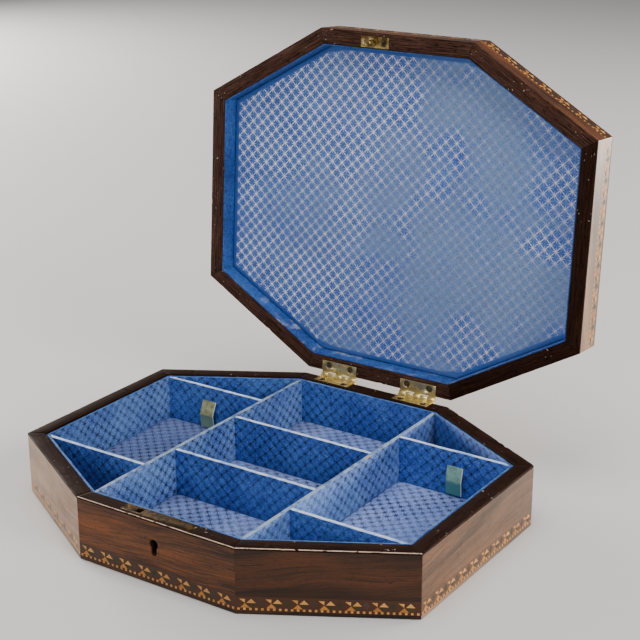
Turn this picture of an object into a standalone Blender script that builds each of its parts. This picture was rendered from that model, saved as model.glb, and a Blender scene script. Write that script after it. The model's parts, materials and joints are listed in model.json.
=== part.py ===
"""Octagonal work box: hinged lid, lift-out tray, box lock and mosaic banding.

The origin is the centre of the underside. X runs along the front, Y towards the back and
Z up. The lid is drawn closed and then turned open about its hinge axis. Sizes are in
metres; MM turns a size in millimetres into metres.
"""

import math

import bmesh
import bpy
from mathutils import Matrix, Vector

MM = 0.001

# Outline of the closed box, seen from above.
HALF_LENGTH = 133.35 * MM
HALF_DEPTH = 107.8 * MM
FRONT_HALF = 52.3 * MM
END_HALF = 61.4 * MM
SIDES = ("front", "front_right", "right", "back_right", "back", "back_left", "left", "front_left")

# Clearance left between neighbouring pieces, and at each end of a mitred board.
GAP = 0.3 * MM
MITRE = 0.16 * MM

# How far a cutter runs past the face that it opens.
PAST = 1.0 * MM

# Heights of the base, from the underside.
BASE_HEIGHT = 37.5 * MM
BOTTOM_THICK = 5.4 * MM
FOOT_LOW = 0.2 * MM
BAND_LOW = 2.4 * MM
BAND_TALL = 7.9 * MM
FACING_THICK = 1.2 * MM

# Thicknesses counted inwards from the outline.
VENEER_THICK = 0.9 * MM
WALL_INNER = 9.1 * MM
LID_WALL_INNER = 9.3 * MM

# Heights of the lid, measured with the lid closed.
LID_GAP = 0.4 * MM
LID_HEIGHT = 22.6 * MM
LID_OPEN_DEG = 94.0
TOP_THICK = 2.6 * MM
TOP_ROUND = 2.2 * MM
PANEL_THICK = 2.7 * MM
LINING_DEPTH = 10.8 * MM
LINING_THICK = 0.5 * MM
LINING_SINK = 0.4 * MM
INLAY_DEEP = 0.9 * MM
INLAY_SIZE = (62.0 * MM, 40.0 * MM)
INLAY_BORDER = (17.0 * MM, 22.0 * MM)

# Tray.
TRAY_OUTER = 9.7 * MM
TRAY_WALL = 1.6 * MM
TRAY_FLOOR = 2.9 * MM
TRAY_TOP = 37.0 * MM
DIVIDER_THICK = 2.4 * MM
DIVIDER_TOP = 36.8 * MM
LONG_DIVIDER_X = 49.0 * MM
END_DIVIDER_Y = 55.5 * MM
CENTRE_DIVIDERS_Y = {"back": 26.7 * MM, "front": -29.5 * MM}

# Silk pull tabs on the rear end dividers: how far each stands out at its fold and its end.
RIBBON_WIDE = 10.2 * MM
RIBBON_X = {"right": 87.8 * MM, "left": -89.0 * MM}
RIBBON_TOP = 27.6 * MM
RIBBON_FOLD_Z = 19.1 * MM
RIBBON_END_Z = 10.6 * MM
RIBBON_OUT = {"right": (2.2 * MM, 1.6 * MM), "left": (4.2 * MM, 3.0 * MM)}
RIBBON_THICK = 0.8 * MM

# Butt hinges: the axis lies behind the back face, level with the joint.
HINGE_X = {"left": -28.9 * MM, "right": 28.9 * MM}
HINGE_LONG = 25.4 * MM
HINGE_AXIS_Y = HALF_DEPTH + 2.8 * MM
HINGE_AXIS_Z = BASE_HEIGHT + LID_GAP / 2
LEAF_REACH = 6.8 * MM
LEAF_THICK = 1.1 * MM
KNUCKLES = 5
KNUCKLE_R = 1.8 * MM
PIN_R = 0.7 * MM
SCREW_SPREAD = 8.0 * MM
SCREW_Y = HALF_DEPTH - 4.0 * MM
SCREW_HEAD_R = 2.05 * MM
SCREW_SHANK_R = 0.75 * MM
SCREW_LONG = 7.0 * MM
SCREW_POINT = 1.4 * MM
SCREW_SLOT = (0.5 * MM, 0.45 * MM)
HOLE_SPARE = 0.5 * MM

# Box lock in the front wall.
LOCK_PLATE_X = (-24.0 * MM, 23.6 * MM)
LOCK_PLATE_WIDE = 6.9 * MM
LOCK_CASE_X = (-20.4 * MM, 20.0 * MM)
LOCK_CASE_LOW = 12.3 * MM
LOCK_CASE_DEEP = 5.3 * MM
LOCK_SHEET = 1.0 * MM
LOCK_PLAY = 0.2 * MM
LOCK_SCREWS_X = (-22.4 * MM, 22.0 * MM)
LOCK_SCREW_R = 1.2 * MM
LOCK_SCREW_SHANK_R = 0.4 * MM
KEYHOLE_Z = (17.2 * MM, 23.9 * MM)
KEYHOLE_R = 2.8 * MM
KEYHOLE_SLOT = 3.7 * MM
DRILL_PIN_R = 0.9 * MM
STAPLE_X = -13.5 * MM
STAPLE_Y = -102.2 * MM
STAPLE_SIZE = (2.6 * MM, 3.5 * MM)
STAPLE_LOW = 28.9 * MM
EYE_WIDE = 1.8 * MM
EYE_Z = (30.1 * MM, 35.2 * MM)
SLOT_SIZE = (4.2 * MM, 3.96 * MM)
BOLT_NOSE_X = -11.4 * MM
BOLT_TAIL_X = 14.0 * MM
BOLT_Z = (30.5 * MM, 33.5 * MM)
BOLT_THICK = 1.2 * MM
BOLT_SHOULDER_X = -6.0 * MM
BOLT_TAIL_DEEP = 2.0 * MM
BOLT_TALON = 2.3 * MM
SPRING_ENDS_X = (1.0 * MM, 13.0 * MM)
SPRING_RISE = 1.6 * MM
SPRING_THICK = 0.4 * MM
SPRING_STEPS = 10
STRIKE_X = (-23.2 * MM, -3.8 * MM)
STRIKE_THICK = 1.0 * MM
STRIKE_SCREWS_X = (-19.3 * MM, -7.7 * MM)
STRIKE_SCREW_R = 1.9 * MM

# Colour, roughness and metallic value of each finish.
FINISHES = {
    "rosewood": ((0.16, 0.065, 0.035, 1.0), 0.25, 0.0),
    "rim": ((0.055, 0.03, 0.025, 1.0), 0.3, 0.0),
    "carcass": ((0.36, 0.22, 0.12, 1.0), 0.6, 0.0),
    "mosaic": ((0.55, 0.33, 0.16, 1.0), 0.35, 0.0),
    "paper": ((0.12, 0.27, 0.6, 1.0), 0.75, 0.0),
    "silk": ((0.36, 0.5, 0.46, 1.0), 0.5, 0.0),
    "brass": ((0.62, 0.5, 0.28, 1.0), 0.35, 1.0),
    "steel": ((0.3, 0.29, 0.28, 1.0), 0.4, 1.0),
}

# Turn an outline drawn in X and Z, or in Y and Z, into a prism along Y, or along X.
ALONG_Y = Matrix(((1, 0, 0, 0), (0, 0, 1, 0), (0, 1, 0, 0), (0, 0, 0, 1)))
ALONG_X = Matrix(((0, 0, 1, 0), (1, 0, 0, 0), (0, 1, 0, 0), (0, 0, 0, 1)))
ALONG_Z = Matrix.Identity(4)


def clear_scene():
    for existing in list(bpy.data.objects):
        bpy.data.objects.remove(existing)


def finish_material(name, finish):
    color, roughness, metallic = FINISHES[finish]
    material = bpy.data.materials.new(name)
    material.use_nodes = True
    shader = material.node_tree.nodes["Principled BSDF"]
    shader.inputs["Base Color"].default_value = color
    shader.inputs["Roughness"].default_value = roughness
    shader.inputs["Metallic"].default_value = metallic
    return material


def add_pivot(name, location, turn_x=0.0):
    """An empty on a joint's axis. Its pieces keep the place they were drawn in."""
    pivot = bpy.data.objects.new(name, None)
    pivot.location = location
    pivot.rotation_euler.x = turn_x
    bpy.context.collection.objects.link(pivot)
    return pivot


def add_object(name, bm, finish, pivot=None, smooth_deg=None):
    """Turn a bmesh into a named object with its own material, held by its pivot."""
    bmesh.ops.recalc_face_normals(bm, faces=bm.faces)
    mesh = bpy.data.meshes.new(name)
    bm.to_mesh(mesh)
    bm.free()
    if smooth_deg:
        mesh.shade_smooth()
        mesh.set_sharp_from_angle(angle=math.radians(smooth_deg))
    piece = bpy.data.objects.new(name, mesh)
    piece.data.materials.append(finish_material(name, finish))
    bpy.context.collection.objects.link(piece)
    if pivot:
        piece.parent = pivot
        piece.matrix_parent_inverse = Matrix.Translation(-pivot.location)
    return piece


def as_cutter(piece):
    """Keep a tool body out of the model."""
    piece.hide_render = True
    piece.display_type = "WIRE"
    return piece


def add_cutter(name, bm, pivot=None):
    return as_cutter(add_object(name, bm, "steel", pivot))


def boolean(piece, tool, operation):
    modifier = piece.modifiers.new(tool.name, "BOOLEAN")
    modifier.object = tool
    modifier.operation = operation


def prism(bm, outline, low, high, frame=ALONG_Z):
    """Add the closed prism of an outline between two levels of the frame's third axis."""
    rings = [
        [bm.verts.new(frame @ Vector((a, b, level))) for a, b in outline] for level in (low, high)
    ]
    for ring in rings:
        bm.faces.new(ring)
    count = len(outline)
    for i in range(count):
        j = (i + 1) % count
        bm.faces.new((rings[0][i], rings[0][j], rings[1][j], rings[1][i]))


def lathe(bm, profile, centre, segments=20, flip=1):
    """Turn a profile of (radius, height) about a vertical line. Its ends lie on the line."""
    x, y, z = centre
    rings = []
    for radius, height in profile:
        level = z + flip * height
        if radius == 0:
            rings.append([bm.verts.new((x, y, level))])
            continue
        angles = [2 * math.pi * k / segments for k in range(segments)]
        rings.append(
            [
                bm.verts.new((x + radius * math.cos(t), y + radius * math.sin(t), level))
                for t in angles
            ]
        )
    for lower, upper in zip(rings, rings[1:]):
        for k in range(segments):
            n = (k + 1) % segments
            corners = [lower[k % len(lower)], lower[n % len(lower)]]
            corners += [upper[n % len(upper)], upper[k % len(upper)]]
            bm.faces.new(list(dict.fromkeys(corners)))


def rectangle(a0, a1, b0, b1):
    return [(a0, b0), (a1, b0), (a1, b1), (a0, b1)]


def circle(centre_a, centre_b, radius, sides):
    angles = [2 * math.pi * (k + 0.5) / sides for k in range(sides)]
    return [(centre_a + radius * math.cos(t), centre_b + radius * math.sin(t)) for t in angles]


def side_lines(inset):
    """Each side of the octagon, moved in by inset, as its inward normal and offset."""
    corners = [
        Vector(corner)
        for corner in (
            (-FRONT_HALF, -HALF_DEPTH),
            (FRONT_HALF, -HALF_DEPTH),
            (HALF_LENGTH, -END_HALF),
            (HALF_LENGTH, END_HALF),
            (FRONT_HALF, HALF_DEPTH),
            (-FRONT_HALF, HALF_DEPTH),
            (-HALF_LENGTH, END_HALF),
            (-HALF_LENGTH, -END_HALF),
        )
    ]
    lines = []
    for start, stop in zip(corners, corners[1:] + corners[:1]):
        along = (stop - start).normalized()
        inward = Vector((-along.y, along.x))
        lines.append((inward, inward.dot(start) + inset))
    return lines


def octagon(inset):
    """The corners of the octagon whose sides are moved in by inset."""
    lines = side_lines(inset)
    corners = []
    for (n0, c0), (n1, c1) in zip(lines[-1:] + lines[:-1], lines):
        det = n0.x * n1.y - n0.y * n1.x
        corners.append(((c0 * n1.y - c1 * n0.y) / det, (n0.x * c1 - n1.x * c0) / det))
    return corners


def mitred_boards(outer_inset, inner_inset):
    """The outlines of the eight mitred boards that lie between two insets."""
    outer, inner = octagon(outer_inset), octagon(inner_inset)
    boards = []
    for i in range(len(SIDES)):
        j = (i + 1) % len(SIDES)
        along = (Vector(outer[j]) - Vector(outer[i])).normalized() * MITRE
        starts = [Vector(outer[i]) + along, Vector(inner[i]) + along]
        stops = [Vector(outer[j]) - along, Vector(inner[j]) - along]
        boards.append([tuple(p) for p in (starts[0], stops[0], stops[1], starts[1])])
    return boards


def clip_to_octagon(outline, inset):
    """The part of a convex outline that lies inside the octagon moved in by inset."""
    for normal, offset in side_lines(inset):
        kept = []
        for start, stop in zip(outline, outline[1:] + outline[:1]):
            start, stop = Vector(start), Vector(stop)
            depth0, depth1 = normal.dot(start) - offset, normal.dot(stop) - offset
            if depth0 >= 0:
                kept.append(tuple(start))
            if (depth0 >= 0) != (depth1 >= 0):
                kept.append(tuple(start.lerp(stop, depth0 / (depth0 - depth1))))
        outline = kept
    return outline


def ring(name, insets, low, high, finish, pivot=None):
    """A band that runs round all eight sides, between two insets and two heights."""
    bm = bmesh.new()
    loops = [
        [bm.verts.new((x, y, level)) for x, y in octagon(inset)]
        for inset, level in zip((*insets, *insets[::-1]), (low, low, high, high))
    ]
    for loop, following in zip(loops, loops[1:] + loops[:1]):
        for i in range(len(SIDES)):
            j = (i + 1) % len(SIDES)
            bm.faces.new((loop[i], loop[j], following[j], following[i]))
    return add_object(name, bm, finish, pivot)


def plate(name, outline, low, high, finish, pivot=None):
    bm = bmesh.new()
    prism(bm, outline, low, high)
    return add_object(name, bm, finish, pivot)


def keyhole_outline():
    """A round head over a straight slot with a round foot, in X and Z."""
    foot_z, head_z = KEYHOLE_Z
    half = KEYHOLE_SLOT / 2
    meet = math.asin(half / KEYHOLE_R)
    arc_steps = 14
    sweep = 2 * (math.pi - meet)
    start = -math.pi / 2 + meet
    head = [start + sweep * k / arc_steps for k in range(arc_steps + 1)]
    points = [(KEYHOLE_R * math.cos(t), head_z + KEYHOLE_R * math.sin(t)) for t in head]
    foot_steps = 6
    foot = [math.pi + math.pi * k / foot_steps for k in range(foot_steps + 1)]
    points += [(half * math.cos(t), foot_z + half + half * math.sin(t)) for t in foot]
    return points


def screw_profile(head_r, shank_r, length):
    """A countersunk screw, from its point up to its flat head at height 0."""
    cone = head_r - shank_r
    return [(0, -length), (shank_r, -length + SCREW_POINT), (shank_r, -cone), (head_r, 0), (0, 0)]


def screw(name, place, head_r, shank_r, length, flip, finish, pivot=None):
    """A countersunk screw with a slot across its head. flip 1 has the head up."""
    x, y, z = place
    bm = bmesh.new()
    lathe(bm, screw_profile(head_r, shank_r, length), place, flip=flip)
    piece = add_object(name, bm, finish, pivot, smooth_deg=40)
    slot_wide, slot_deep = SCREW_SLOT
    half_slot, reach = slot_wide / 2, 2 * head_r
    ends = sorted((z + flip * GAP, z - flip * slot_deep))
    bm = bmesh.new()
    prism(bm, rectangle(x - half_slot, x + half_slot, y - reach, y + reach), *ends)
    boolean(piece, add_cutter(name + "_slot", bm, pivot), "DIFFERENCE")


def screw_holes(bm, places, head_r, shank_r, length, flip):
    """Countersunk holes, GAP wider than the screws that go into them."""
    head, shank = head_r + GAP, shank_r + GAP
    cone = head_r - shank_r
    profile = [(0, -length - GAP), (shank, -length - GAP), (shank, -cone), (head, 0)]
    profile += [(head + GAP, GAP), (0, GAP)]
    for place in places:
        lathe(bm, profile, place, flip=flip)


# Levels and insets that follow from the driving sizes.
RIM_Z = (BASE_HEIGHT - FACING_THICK, BASE_HEIGHT)
WALL_Z = (BOTTOM_THICK + GAP, RIM_Z[0] - GAP)
CARCASS = VENEER_THICK + GAP
LID_LOW = BASE_HEIGHT + LID_GAP
LID_TOP = LID_LOW + LID_HEIGHT
LID_RIM_Z = (LID_LOW, LID_LOW + FACING_THICK)
TOP_Z = (LID_TOP - TOP_THICK, LID_TOP)
PANEL_Z = (TOP_Z[0] - GAP - PANEL_THICK, TOP_Z[0] - GAP)
LID_WALL_Z = (LID_RIM_Z[1] + GAP, PANEL_Z[0] - GAP)
LID_BAND_Z = (PANEL_Z[1] - BAND_TALL, PANEL_Z[1])
LINING_Z = LID_LOW + LINING_DEPTH
TRAY_LOW = BOTTOM_THICK + GAP
TRAY_INSIDE = TRAY_LOW + TRAY_FLOOR + GAP
TRAY_CLEAR = TRAY_OUTER + TRAY_WALL + GAP
LOCK_INNER_Y = -HALF_DEPTH + WALL_INNER


def hinge_screw_places(level):
    return [
        (centre + side * SCREW_SPREAD, SCREW_Y, level)
        for centre in HINGE_X.values()
        for side in (-1, 1)
    ]


def cut_keyhole(piece, name, y0, y1):
    bm = bmesh.new()
    prism(bm, keyhole_outline(), y0, y1, ALONG_Y)
    boolean(piece, add_cutter(name, bm), "DIFFERENCE")


def cut_hinge_recesses(rim, low, high, pivot=None):
    """Let both hinge leaves into a rim facing, through its full thickness."""
    bm = bmesh.new()
    for centre in HINGE_X.values():
        half = HINGE_LONG / 2 + GAP
        outline = rectangle(
            centre - half, centre + half, HALF_DEPTH - LEAF_REACH - GAP, HALF_DEPTH + PAST
        )
        prism(bm, outline, low - GAP, high + GAP)
    boolean(rim, add_cutter(rim.name + "_recesses", bm, pivot), "DIFFERENCE")


def build_base():
    plate("base_bottom", octagon(CARCASS), 0, BOTTOM_THICK, "carcass")
    for side, outline in zip(SIDES, mitred_boards(CARCASS, WALL_INNER)):
        wall = plate("base_wall_" + side, outline, *WALL_Z, "carcass")
        if side == "front":
            cut_lock_mortise(wall)
        if side == "back":
            bm = bmesh.new()
            top = BASE_HEIGHT
            screw_holes(
                bm, hinge_screw_places(top), SCREW_HEAD_R, SCREW_SHANK_R, SCREW_LONG, 1
            )
            boolean(wall, add_cutter("base_wall_holes", bm), "DIFFERENCE")
    foot = (0, VENEER_THICK)
    ring("base_foot_strip", foot, FOOT_LOW, BAND_LOW - GAP, "rosewood")
    ring("base_mosaic_band", foot, BAND_LOW, BAND_LOW + BAND_TALL, "mosaic")
    veneer_low = BAND_LOW + BAND_TALL + GAP
    veneer = ring("base_veneer", foot, veneer_low, WALL_Z[1], "rosewood")
    cut_keyhole(veneer, "veneer_keyhole", -HALF_DEPTH - PAST, -HALF_DEPTH + PAST)
    rim = ring("base_rim_facing", (0, WALL_INNER), *RIM_Z, "rim")
    cut_hinge_recesses(rim, *RIM_Z)
    bm = bmesh.new()
    outline = rectangle(
        LOCK_PLATE_X[0] - GAP,
        LOCK_PLATE_X[1] + GAP,
        LOCK_INNER_Y - LOCK_PLATE_WIDE - GAP,
        LOCK_INNER_Y + PAST,
    )
    prism(bm, outline, RIM_Z[0] - GAP, RIM_Z[1] + GAP)
    boolean(rim, add_cutter("rim_lock_recess", bm), "DIFFERENCE")


def cut_lock_mortise(wall):
    """Sink the lock's pocket, its two screw holes and the keyhole in the front wall."""
    bm = bmesh.new()
    outline = rectangle(
        LOCK_CASE_X[0] - GAP,
        LOCK_CASE_X[1] + GAP,
        LOCK_INNER_Y - LOCK_CASE_DEEP - 2 * GAP,
        LOCK_INNER_Y + PAST,
    )
    prism(bm, outline, LOCK_CASE_LOW - GAP, WALL_Z[1] + GAP)
    boolean(wall, add_cutter("lock_mortise", bm), "DIFFERENCE")
    bm = bmesh.new()
    for x in LOCK_SCREWS_X:
        hole = circle(x, STAPLE_Y, SCREW_SHANK_R, 12)
        prism(bm, hole, RIM_Z[0] - SCREW_LONG, RIM_Z[1])
    boolean(wall, add_cutter("lock_screw_holes", bm), "DIFFERENCE")
    cut_keyhole(wall, "wall_keyhole", -HALF_DEPTH, LOCK_INNER_Y - LOCK_CASE_DEEP)


def build_lock():
    inner = LOCK_INNER_Y
    selvedge = plate(
        "lock_plate",
        rectangle(*LOCK_PLATE_X, inner - LOCK_PLATE_WIDE, inner),
        *RIM_Z,
        "brass",
    )
    bm = bmesh.new()
    half_x, half_y = SLOT_SIZE[0] / 2, SLOT_SIZE[1] / 2
    slot = rectangle(
        STAPLE_X - half_x, STAPLE_X + half_x, STAPLE_Y - half_y, STAPLE_Y + half_y
    )
    prism(bm, slot, RIM_Z[0] - GAP, RIM_Z[1] + GAP)
    places = [(x, STAPLE_Y, BASE_HEIGHT) for x in LOCK_SCREWS_X]
    screw_holes(bm, places, LOCK_SCREW_R, LOCK_SCREW_SHANK_R, SCREW_LONG, 1)
    boolean(selvedge, add_cutter("lock_plate_holes", bm), "DIFFERENCE")
    for hand, place in zip(("left", "right"), places):
        size = (LOCK_SCREW_R, LOCK_SCREW_SHANK_R, SCREW_LONG - HOLE_SPARE)
        screw(f"lock_screw_{hand}", place, *size, 1, "brass")

    case_back = inner - LOCK_PLAY
    case_front = case_back - LOCK_CASE_DEEP
    case_top = RIM_Z[0] - GAP
    case = plate(
        "lock_case",
        rectangle(*LOCK_CASE_X, case_front, case_back),
        LOCK_CASE_LOW,
        case_top,
        "steel",
    )
    bm = bmesh.new()
    hollow = rectangle(
        LOCK_CASE_X[0] + LOCK_SHEET,
        LOCK_CASE_X[1] - LOCK_SHEET,
        case_front - PAST,
        case_back - LOCK_SHEET,
    )
    prism(bm, hollow, LOCK_CASE_LOW + LOCK_SHEET, case_top + PAST)
    boolean(case, add_cutter("lock_case_hollow", bm), "DIFFERENCE")

    bm = bmesh.new()
    pin = circle(0, KEYHOLE_Z[1], DRILL_PIN_R, 14)
    prism(bm, pin, case_front + GAP, case_back - LOCK_SHEET - GAP, ALONG_Y)
    add_object("lock_drill_pin", bm, "steel", smooth_deg=40)

    low, high = BOLT_Z
    bolt_y = (STAPLE_Y - BOLT_THICK / 2, STAPLE_Y + BOLT_THICK / 2)
    pivot = add_pivot("lock_bolt_slide", (BOLT_NOSE_X, STAPLE_Y, (low + high) / 2))
    tail_low, talon = low - BOLT_TAIL_DEEP, BOLT_TALON
    outline = [(BOLT_NOSE_X, low), (BOLT_SHOULDER_X, low), (BOLT_SHOULDER_X, tail_low)]
    outline += [(-talon, tail_low), (-talon, low), (talon, low), (talon, tail_low)]
    outline += [(BOLT_TAIL_X, tail_low), (BOLT_TAIL_X, high), (BOLT_NOSE_X, high)]
    bm = bmesh.new()
    prism(bm, outline, *bolt_y, ALONG_Y)
    add_object("lock_bolt", bm, "brass", pivot)

    # A bowed leaf on the bolt's back, just under the plate.
    upper, lower = [], []
    first, last = SPRING_ENDS_X
    for k in range(SPRING_STEPS + 1):
        share = k / SPRING_STEPS
        x = first + (last - first) * share
        z = high + GAP + SPRING_RISE * math.sin(math.pi * share)
        lower.append((x, z))
        upper.append((x, z + SPRING_THICK))
    bm = bmesh.new()
    prism(bm, lower + upper[::-1], *bolt_y, ALONG_Y)
    add_object("lock_spring", bm, "steel", pivot)


def build_hinges(lid_pivot):
    half_long = HINGE_LONG / 2
    pitch = HINGE_LONG / KNUCKLES
    for hand, centre in HINGE_X.items():
        x0 = centre - half_long
        for body, parity, pivot in (("base", 1, None), ("lid", 0, lid_pivot)):
            if body == "base":
                low, high = BASE_HEIGHT - LEAF_THICK, BASE_HEIGHT
                level, flip = high, 1
            else:
                low, high = LID_LOW, LID_LOW + LEAF_THICK
                level, flip = low, -1
            own = [k for k in range(KNUCKLES) if k % 2 == parity]
            leaf = bmesh.new()
            outline = rectangle(
                x0, x0 + HINGE_LONG, HALF_DEPTH - LEAF_REACH, HINGE_AXIS_Y - KNUCKLE_R - 2 * GAP
            )
            prism(leaf, outline, low, high)
            name = f"hinge_{hand}_{body}_leaf"
            piece = add_object(name, leaf, "brass", pivot, smooth_deg=40)

            barrel, tongues, bore = bmesh.new(), bmesh.new(), bmesh.new()
            for k in own:
                start, stop = x0 + k * pitch + GAP / 2, x0 + (k + 1) * pitch - GAP / 2
                outline = circle(HINGE_AXIS_Y, HINGE_AXIS_Z, KNUCKLE_R, 24)
                prism(barrel, outline, start, stop, ALONG_X)
                tongue = rectangle(
                    start,
                    stop,
                    HALF_DEPTH - LEAF_REACH / 2,
                    HINGE_AXIS_Y - PIN_R - 2 * GAP,
                )
                prism(tongues, tongue, low, high)
            boolean(piece, add_cutter(name + "_tongues", tongues, pivot), "UNION")
            boolean(piece, add_cutter(name + "_knuckles", barrel, pivot), "UNION")
            outline = circle(HINGE_AXIS_Y, HINGE_AXIS_Z, PIN_R + GAP, 16)
            prism(bore, outline, x0 - PAST, x0 + HINGE_LONG + PAST, ALONG_X)
            boolean(piece, add_cutter(name + "_bore", bore, pivot), "DIFFERENCE")
            holes = bmesh.new()
            places = [p for p in hinge_screw_places(level) if abs(p[0] - centre) < half_long]
            screw_holes(holes, places, SCREW_HEAD_R, SCREW_SHANK_R, SCREW_LONG, flip)
            boolean(piece, add_cutter(name + "_holes", holes, pivot), "DIFFERENCE")
            for end, place in zip(("left", "right"), places):
                size = (SCREW_HEAD_R, SCREW_SHANK_R, SCREW_LONG - HOLE_SPARE)
                screw(f"hinge_{hand}_{body}_screw_{end}", place, *size, flip, "steel", pivot)
        pin = bmesh.new()
        outline = circle(HINGE_AXIS_Y, HINGE_AXIS_Z, PIN_R, 16)
        prism(pin, outline, x0 - GAP, x0 + HINGE_LONG + GAP, ALONG_X)
        add_object(f"hinge_{hand}_pin", pin, "brass", smooth_deg=40)


def build_lid(pivot):
    frame = ring("lid_frame", (CARCASS, LID_WALL_INNER), *LID_WALL_Z, "carcass", pivot)
    bm = bmesh.new()
    places = hinge_screw_places(LID_LOW)
    screw_holes(bm, places, SCREW_HEAD_R, SCREW_SHANK_R, SCREW_LONG, -1)
    for x in STRIKE_SCREWS_X:
        hole = circle(x, STAPLE_Y, SCREW_SHANK_R + GAP, 12)
        prism(bm, hole, LID_LOW, LID_LOW + SCREW_LONG)
    boolean(frame, add_cutter("lid_frame_holes", bm, pivot), "DIFFERENCE")
    plate("lid_panel", octagon(CARCASS), *PANEL_Z, "carcass", pivot)

    skin = (0, VENEER_THICK)
    veneer_z = (LID_RIM_Z[1] + GAP, LID_BAND_Z[0] - GAP)
    ring("lid_side_veneer", skin, *veneer_z, "rosewood", pivot)
    ring("lid_mosaic_band", skin, *LID_BAND_Z, "mosaic", pivot)
    rim = ring("lid_rim_facing", (0, LID_WALL_INNER), *LID_RIM_Z, "rim", pivot)
    cut_hinge_recesses(rim, *LID_RIM_Z, pivot)
    strike_y = (LOCK_INNER_Y - LOCK_PLATE_WIDE, LOCK_INNER_Y - LOCK_PLAY)
    bm = bmesh.new()
    outline = rectangle(
        STRIKE_X[0] - GAP, STRIKE_X[1] + GAP, strike_y[0] - GAP, strike_y[1] + PAST
    )
    prism(bm, outline, LID_RIM_Z[0] - GAP, LID_RIM_Z[1] + GAP)
    boolean(rim, add_cutter("strike_recess", bm, pivot), "DIFFERENCE")

    build_lid_top(pivot)

    lining_inset = (LID_WALL_INNER + GAP, LID_WALL_INNER + GAP + LINING_THICK)
    side_z = (LID_LOW + LINING_SINK, LINING_Z - GAP)
    ring("lid_side_lining", lining_inset, *side_z, "paper", pivot)
    lining_z = (LINING_Z, PANEL_Z[0] - GAP)
    plate("lid_lining_panel", octagon(lining_inset[0]), *lining_z, "paper", pivot)

    strike_z = (LID_LOW, LID_LOW + STRIKE_THICK)
    strike = plate(
        "strike_plate", rectangle(*STRIKE_X, *strike_y), *strike_z, "brass", pivot
    )
    places = [(x, STAPLE_Y, LID_LOW) for x in STRIKE_SCREWS_X]
    bm = bmesh.new()
    size = (STRIKE_SCREW_R, SCREW_SHANK_R, SCREW_LONG - HOLE_SPARE)
    screw_holes(bm, places, *size, -1)
    boolean(strike, add_cutter("strike_holes", bm, pivot), "DIFFERENCE")
    for hand, place in zip(("left", "right"), places):
        screw(f"strike_screw_{hand}", place, *size, -1, "steel", pivot)
    add_staple(strike, pivot)


def add_staple(strike, pivot):
    """Join the eye that drops into the lock. Its tip is round and the bolt passes along X."""
    wide = STAPLE_SIZE[1] / 2
    arc_steps = 8
    tip = [math.pi + math.pi * k / arc_steps for k in range(arc_steps + 1)]
    outline = [
        (STAPLE_Y + wide * math.cos(t), STAPLE_LOW + wide + wide * math.sin(t)) for t in tip
    ]
    root = LID_LOW + STRIKE_THICK / 2
    outline += [(STAPLE_Y + wide, root), (STAPLE_Y - wide, root)]
    x0, x1 = STAPLE_X - STAPLE_SIZE[0] / 2, STAPLE_X + STAPLE_SIZE[0] / 2
    bm = bmesh.new()
    prism(bm, outline, x0, x1, ALONG_X)
    boolean(strike, add_cutter("strike_staple", bm, pivot), "UNION")
    bm = bmesh.new()
    eye = rectangle(STAPLE_Y - EYE_WIDE / 2, STAPLE_Y + EYE_WIDE / 2, *EYE_Z)
    prism(bm, eye, x0 - PAST, x1 + PAST, ALONG_X)
    boolean(strike, add_cutter("staple_eye", bm, pivot), "DIFFERENCE")


def build_lid_top(pivot):
    """The veneered top with a round upper edge, and the mosaic let into it."""
    top = plate("lid_top_veneer", octagon(0), *TOP_Z, "rosewood", pivot)
    bevel = top.modifiers.new("round_edge", "BEVEL")
    bevel.width = TOP_ROUND
    bevel.segments = 3
    bevel.limit_method = "WEIGHT"
    weights = top.data.attributes.new("bevel_weight_edge", "FLOAT", "EDGE")
    for edge in top.data.edges:
        ends = [top.data.vertices[v].co.z for v in edge.vertices]
        weights.data[edge.index].value = 1.0 if min(ends) > TOP_Z[1] - GAP else 0.0

    floor_z = TOP_Z[1] - INLAY_DEEP
    half_x, half_y = INLAY_SIZE[0] / 2, INLAY_SIZE[1] / 2
    ring("lid_inlay_border", INLAY_BORDER, floor_z, TOP_Z[1], "mosaic", pivot)
    pocket = (INLAY_BORDER[0] - GAP, INLAY_BORDER[1] + GAP)
    levels = (floor_z - GAP, TOP_Z[1] + GAP)
    border_pocket = ring("border_pocket", pocket, *levels, "steel", pivot)
    boolean(top, as_cutter(border_pocket), "DIFFERENCE")
    lozenge = [(half_x, 0), (0, half_y), (-half_x, 0), (0, -half_y)]
    plate("lid_inlay_centre", lozenge, floor_z, TOP_Z[1], "mosaic", pivot)
    grow = 1 + 2 * GAP / half_y
    outline = [(x * grow, y * grow) for x, y in lozenge]
    bm = bmesh.new()
    prism(bm, outline, *levels)
    boolean(top, add_cutter("centre_pocket", bm, pivot), "DIFFERENCE")


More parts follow.
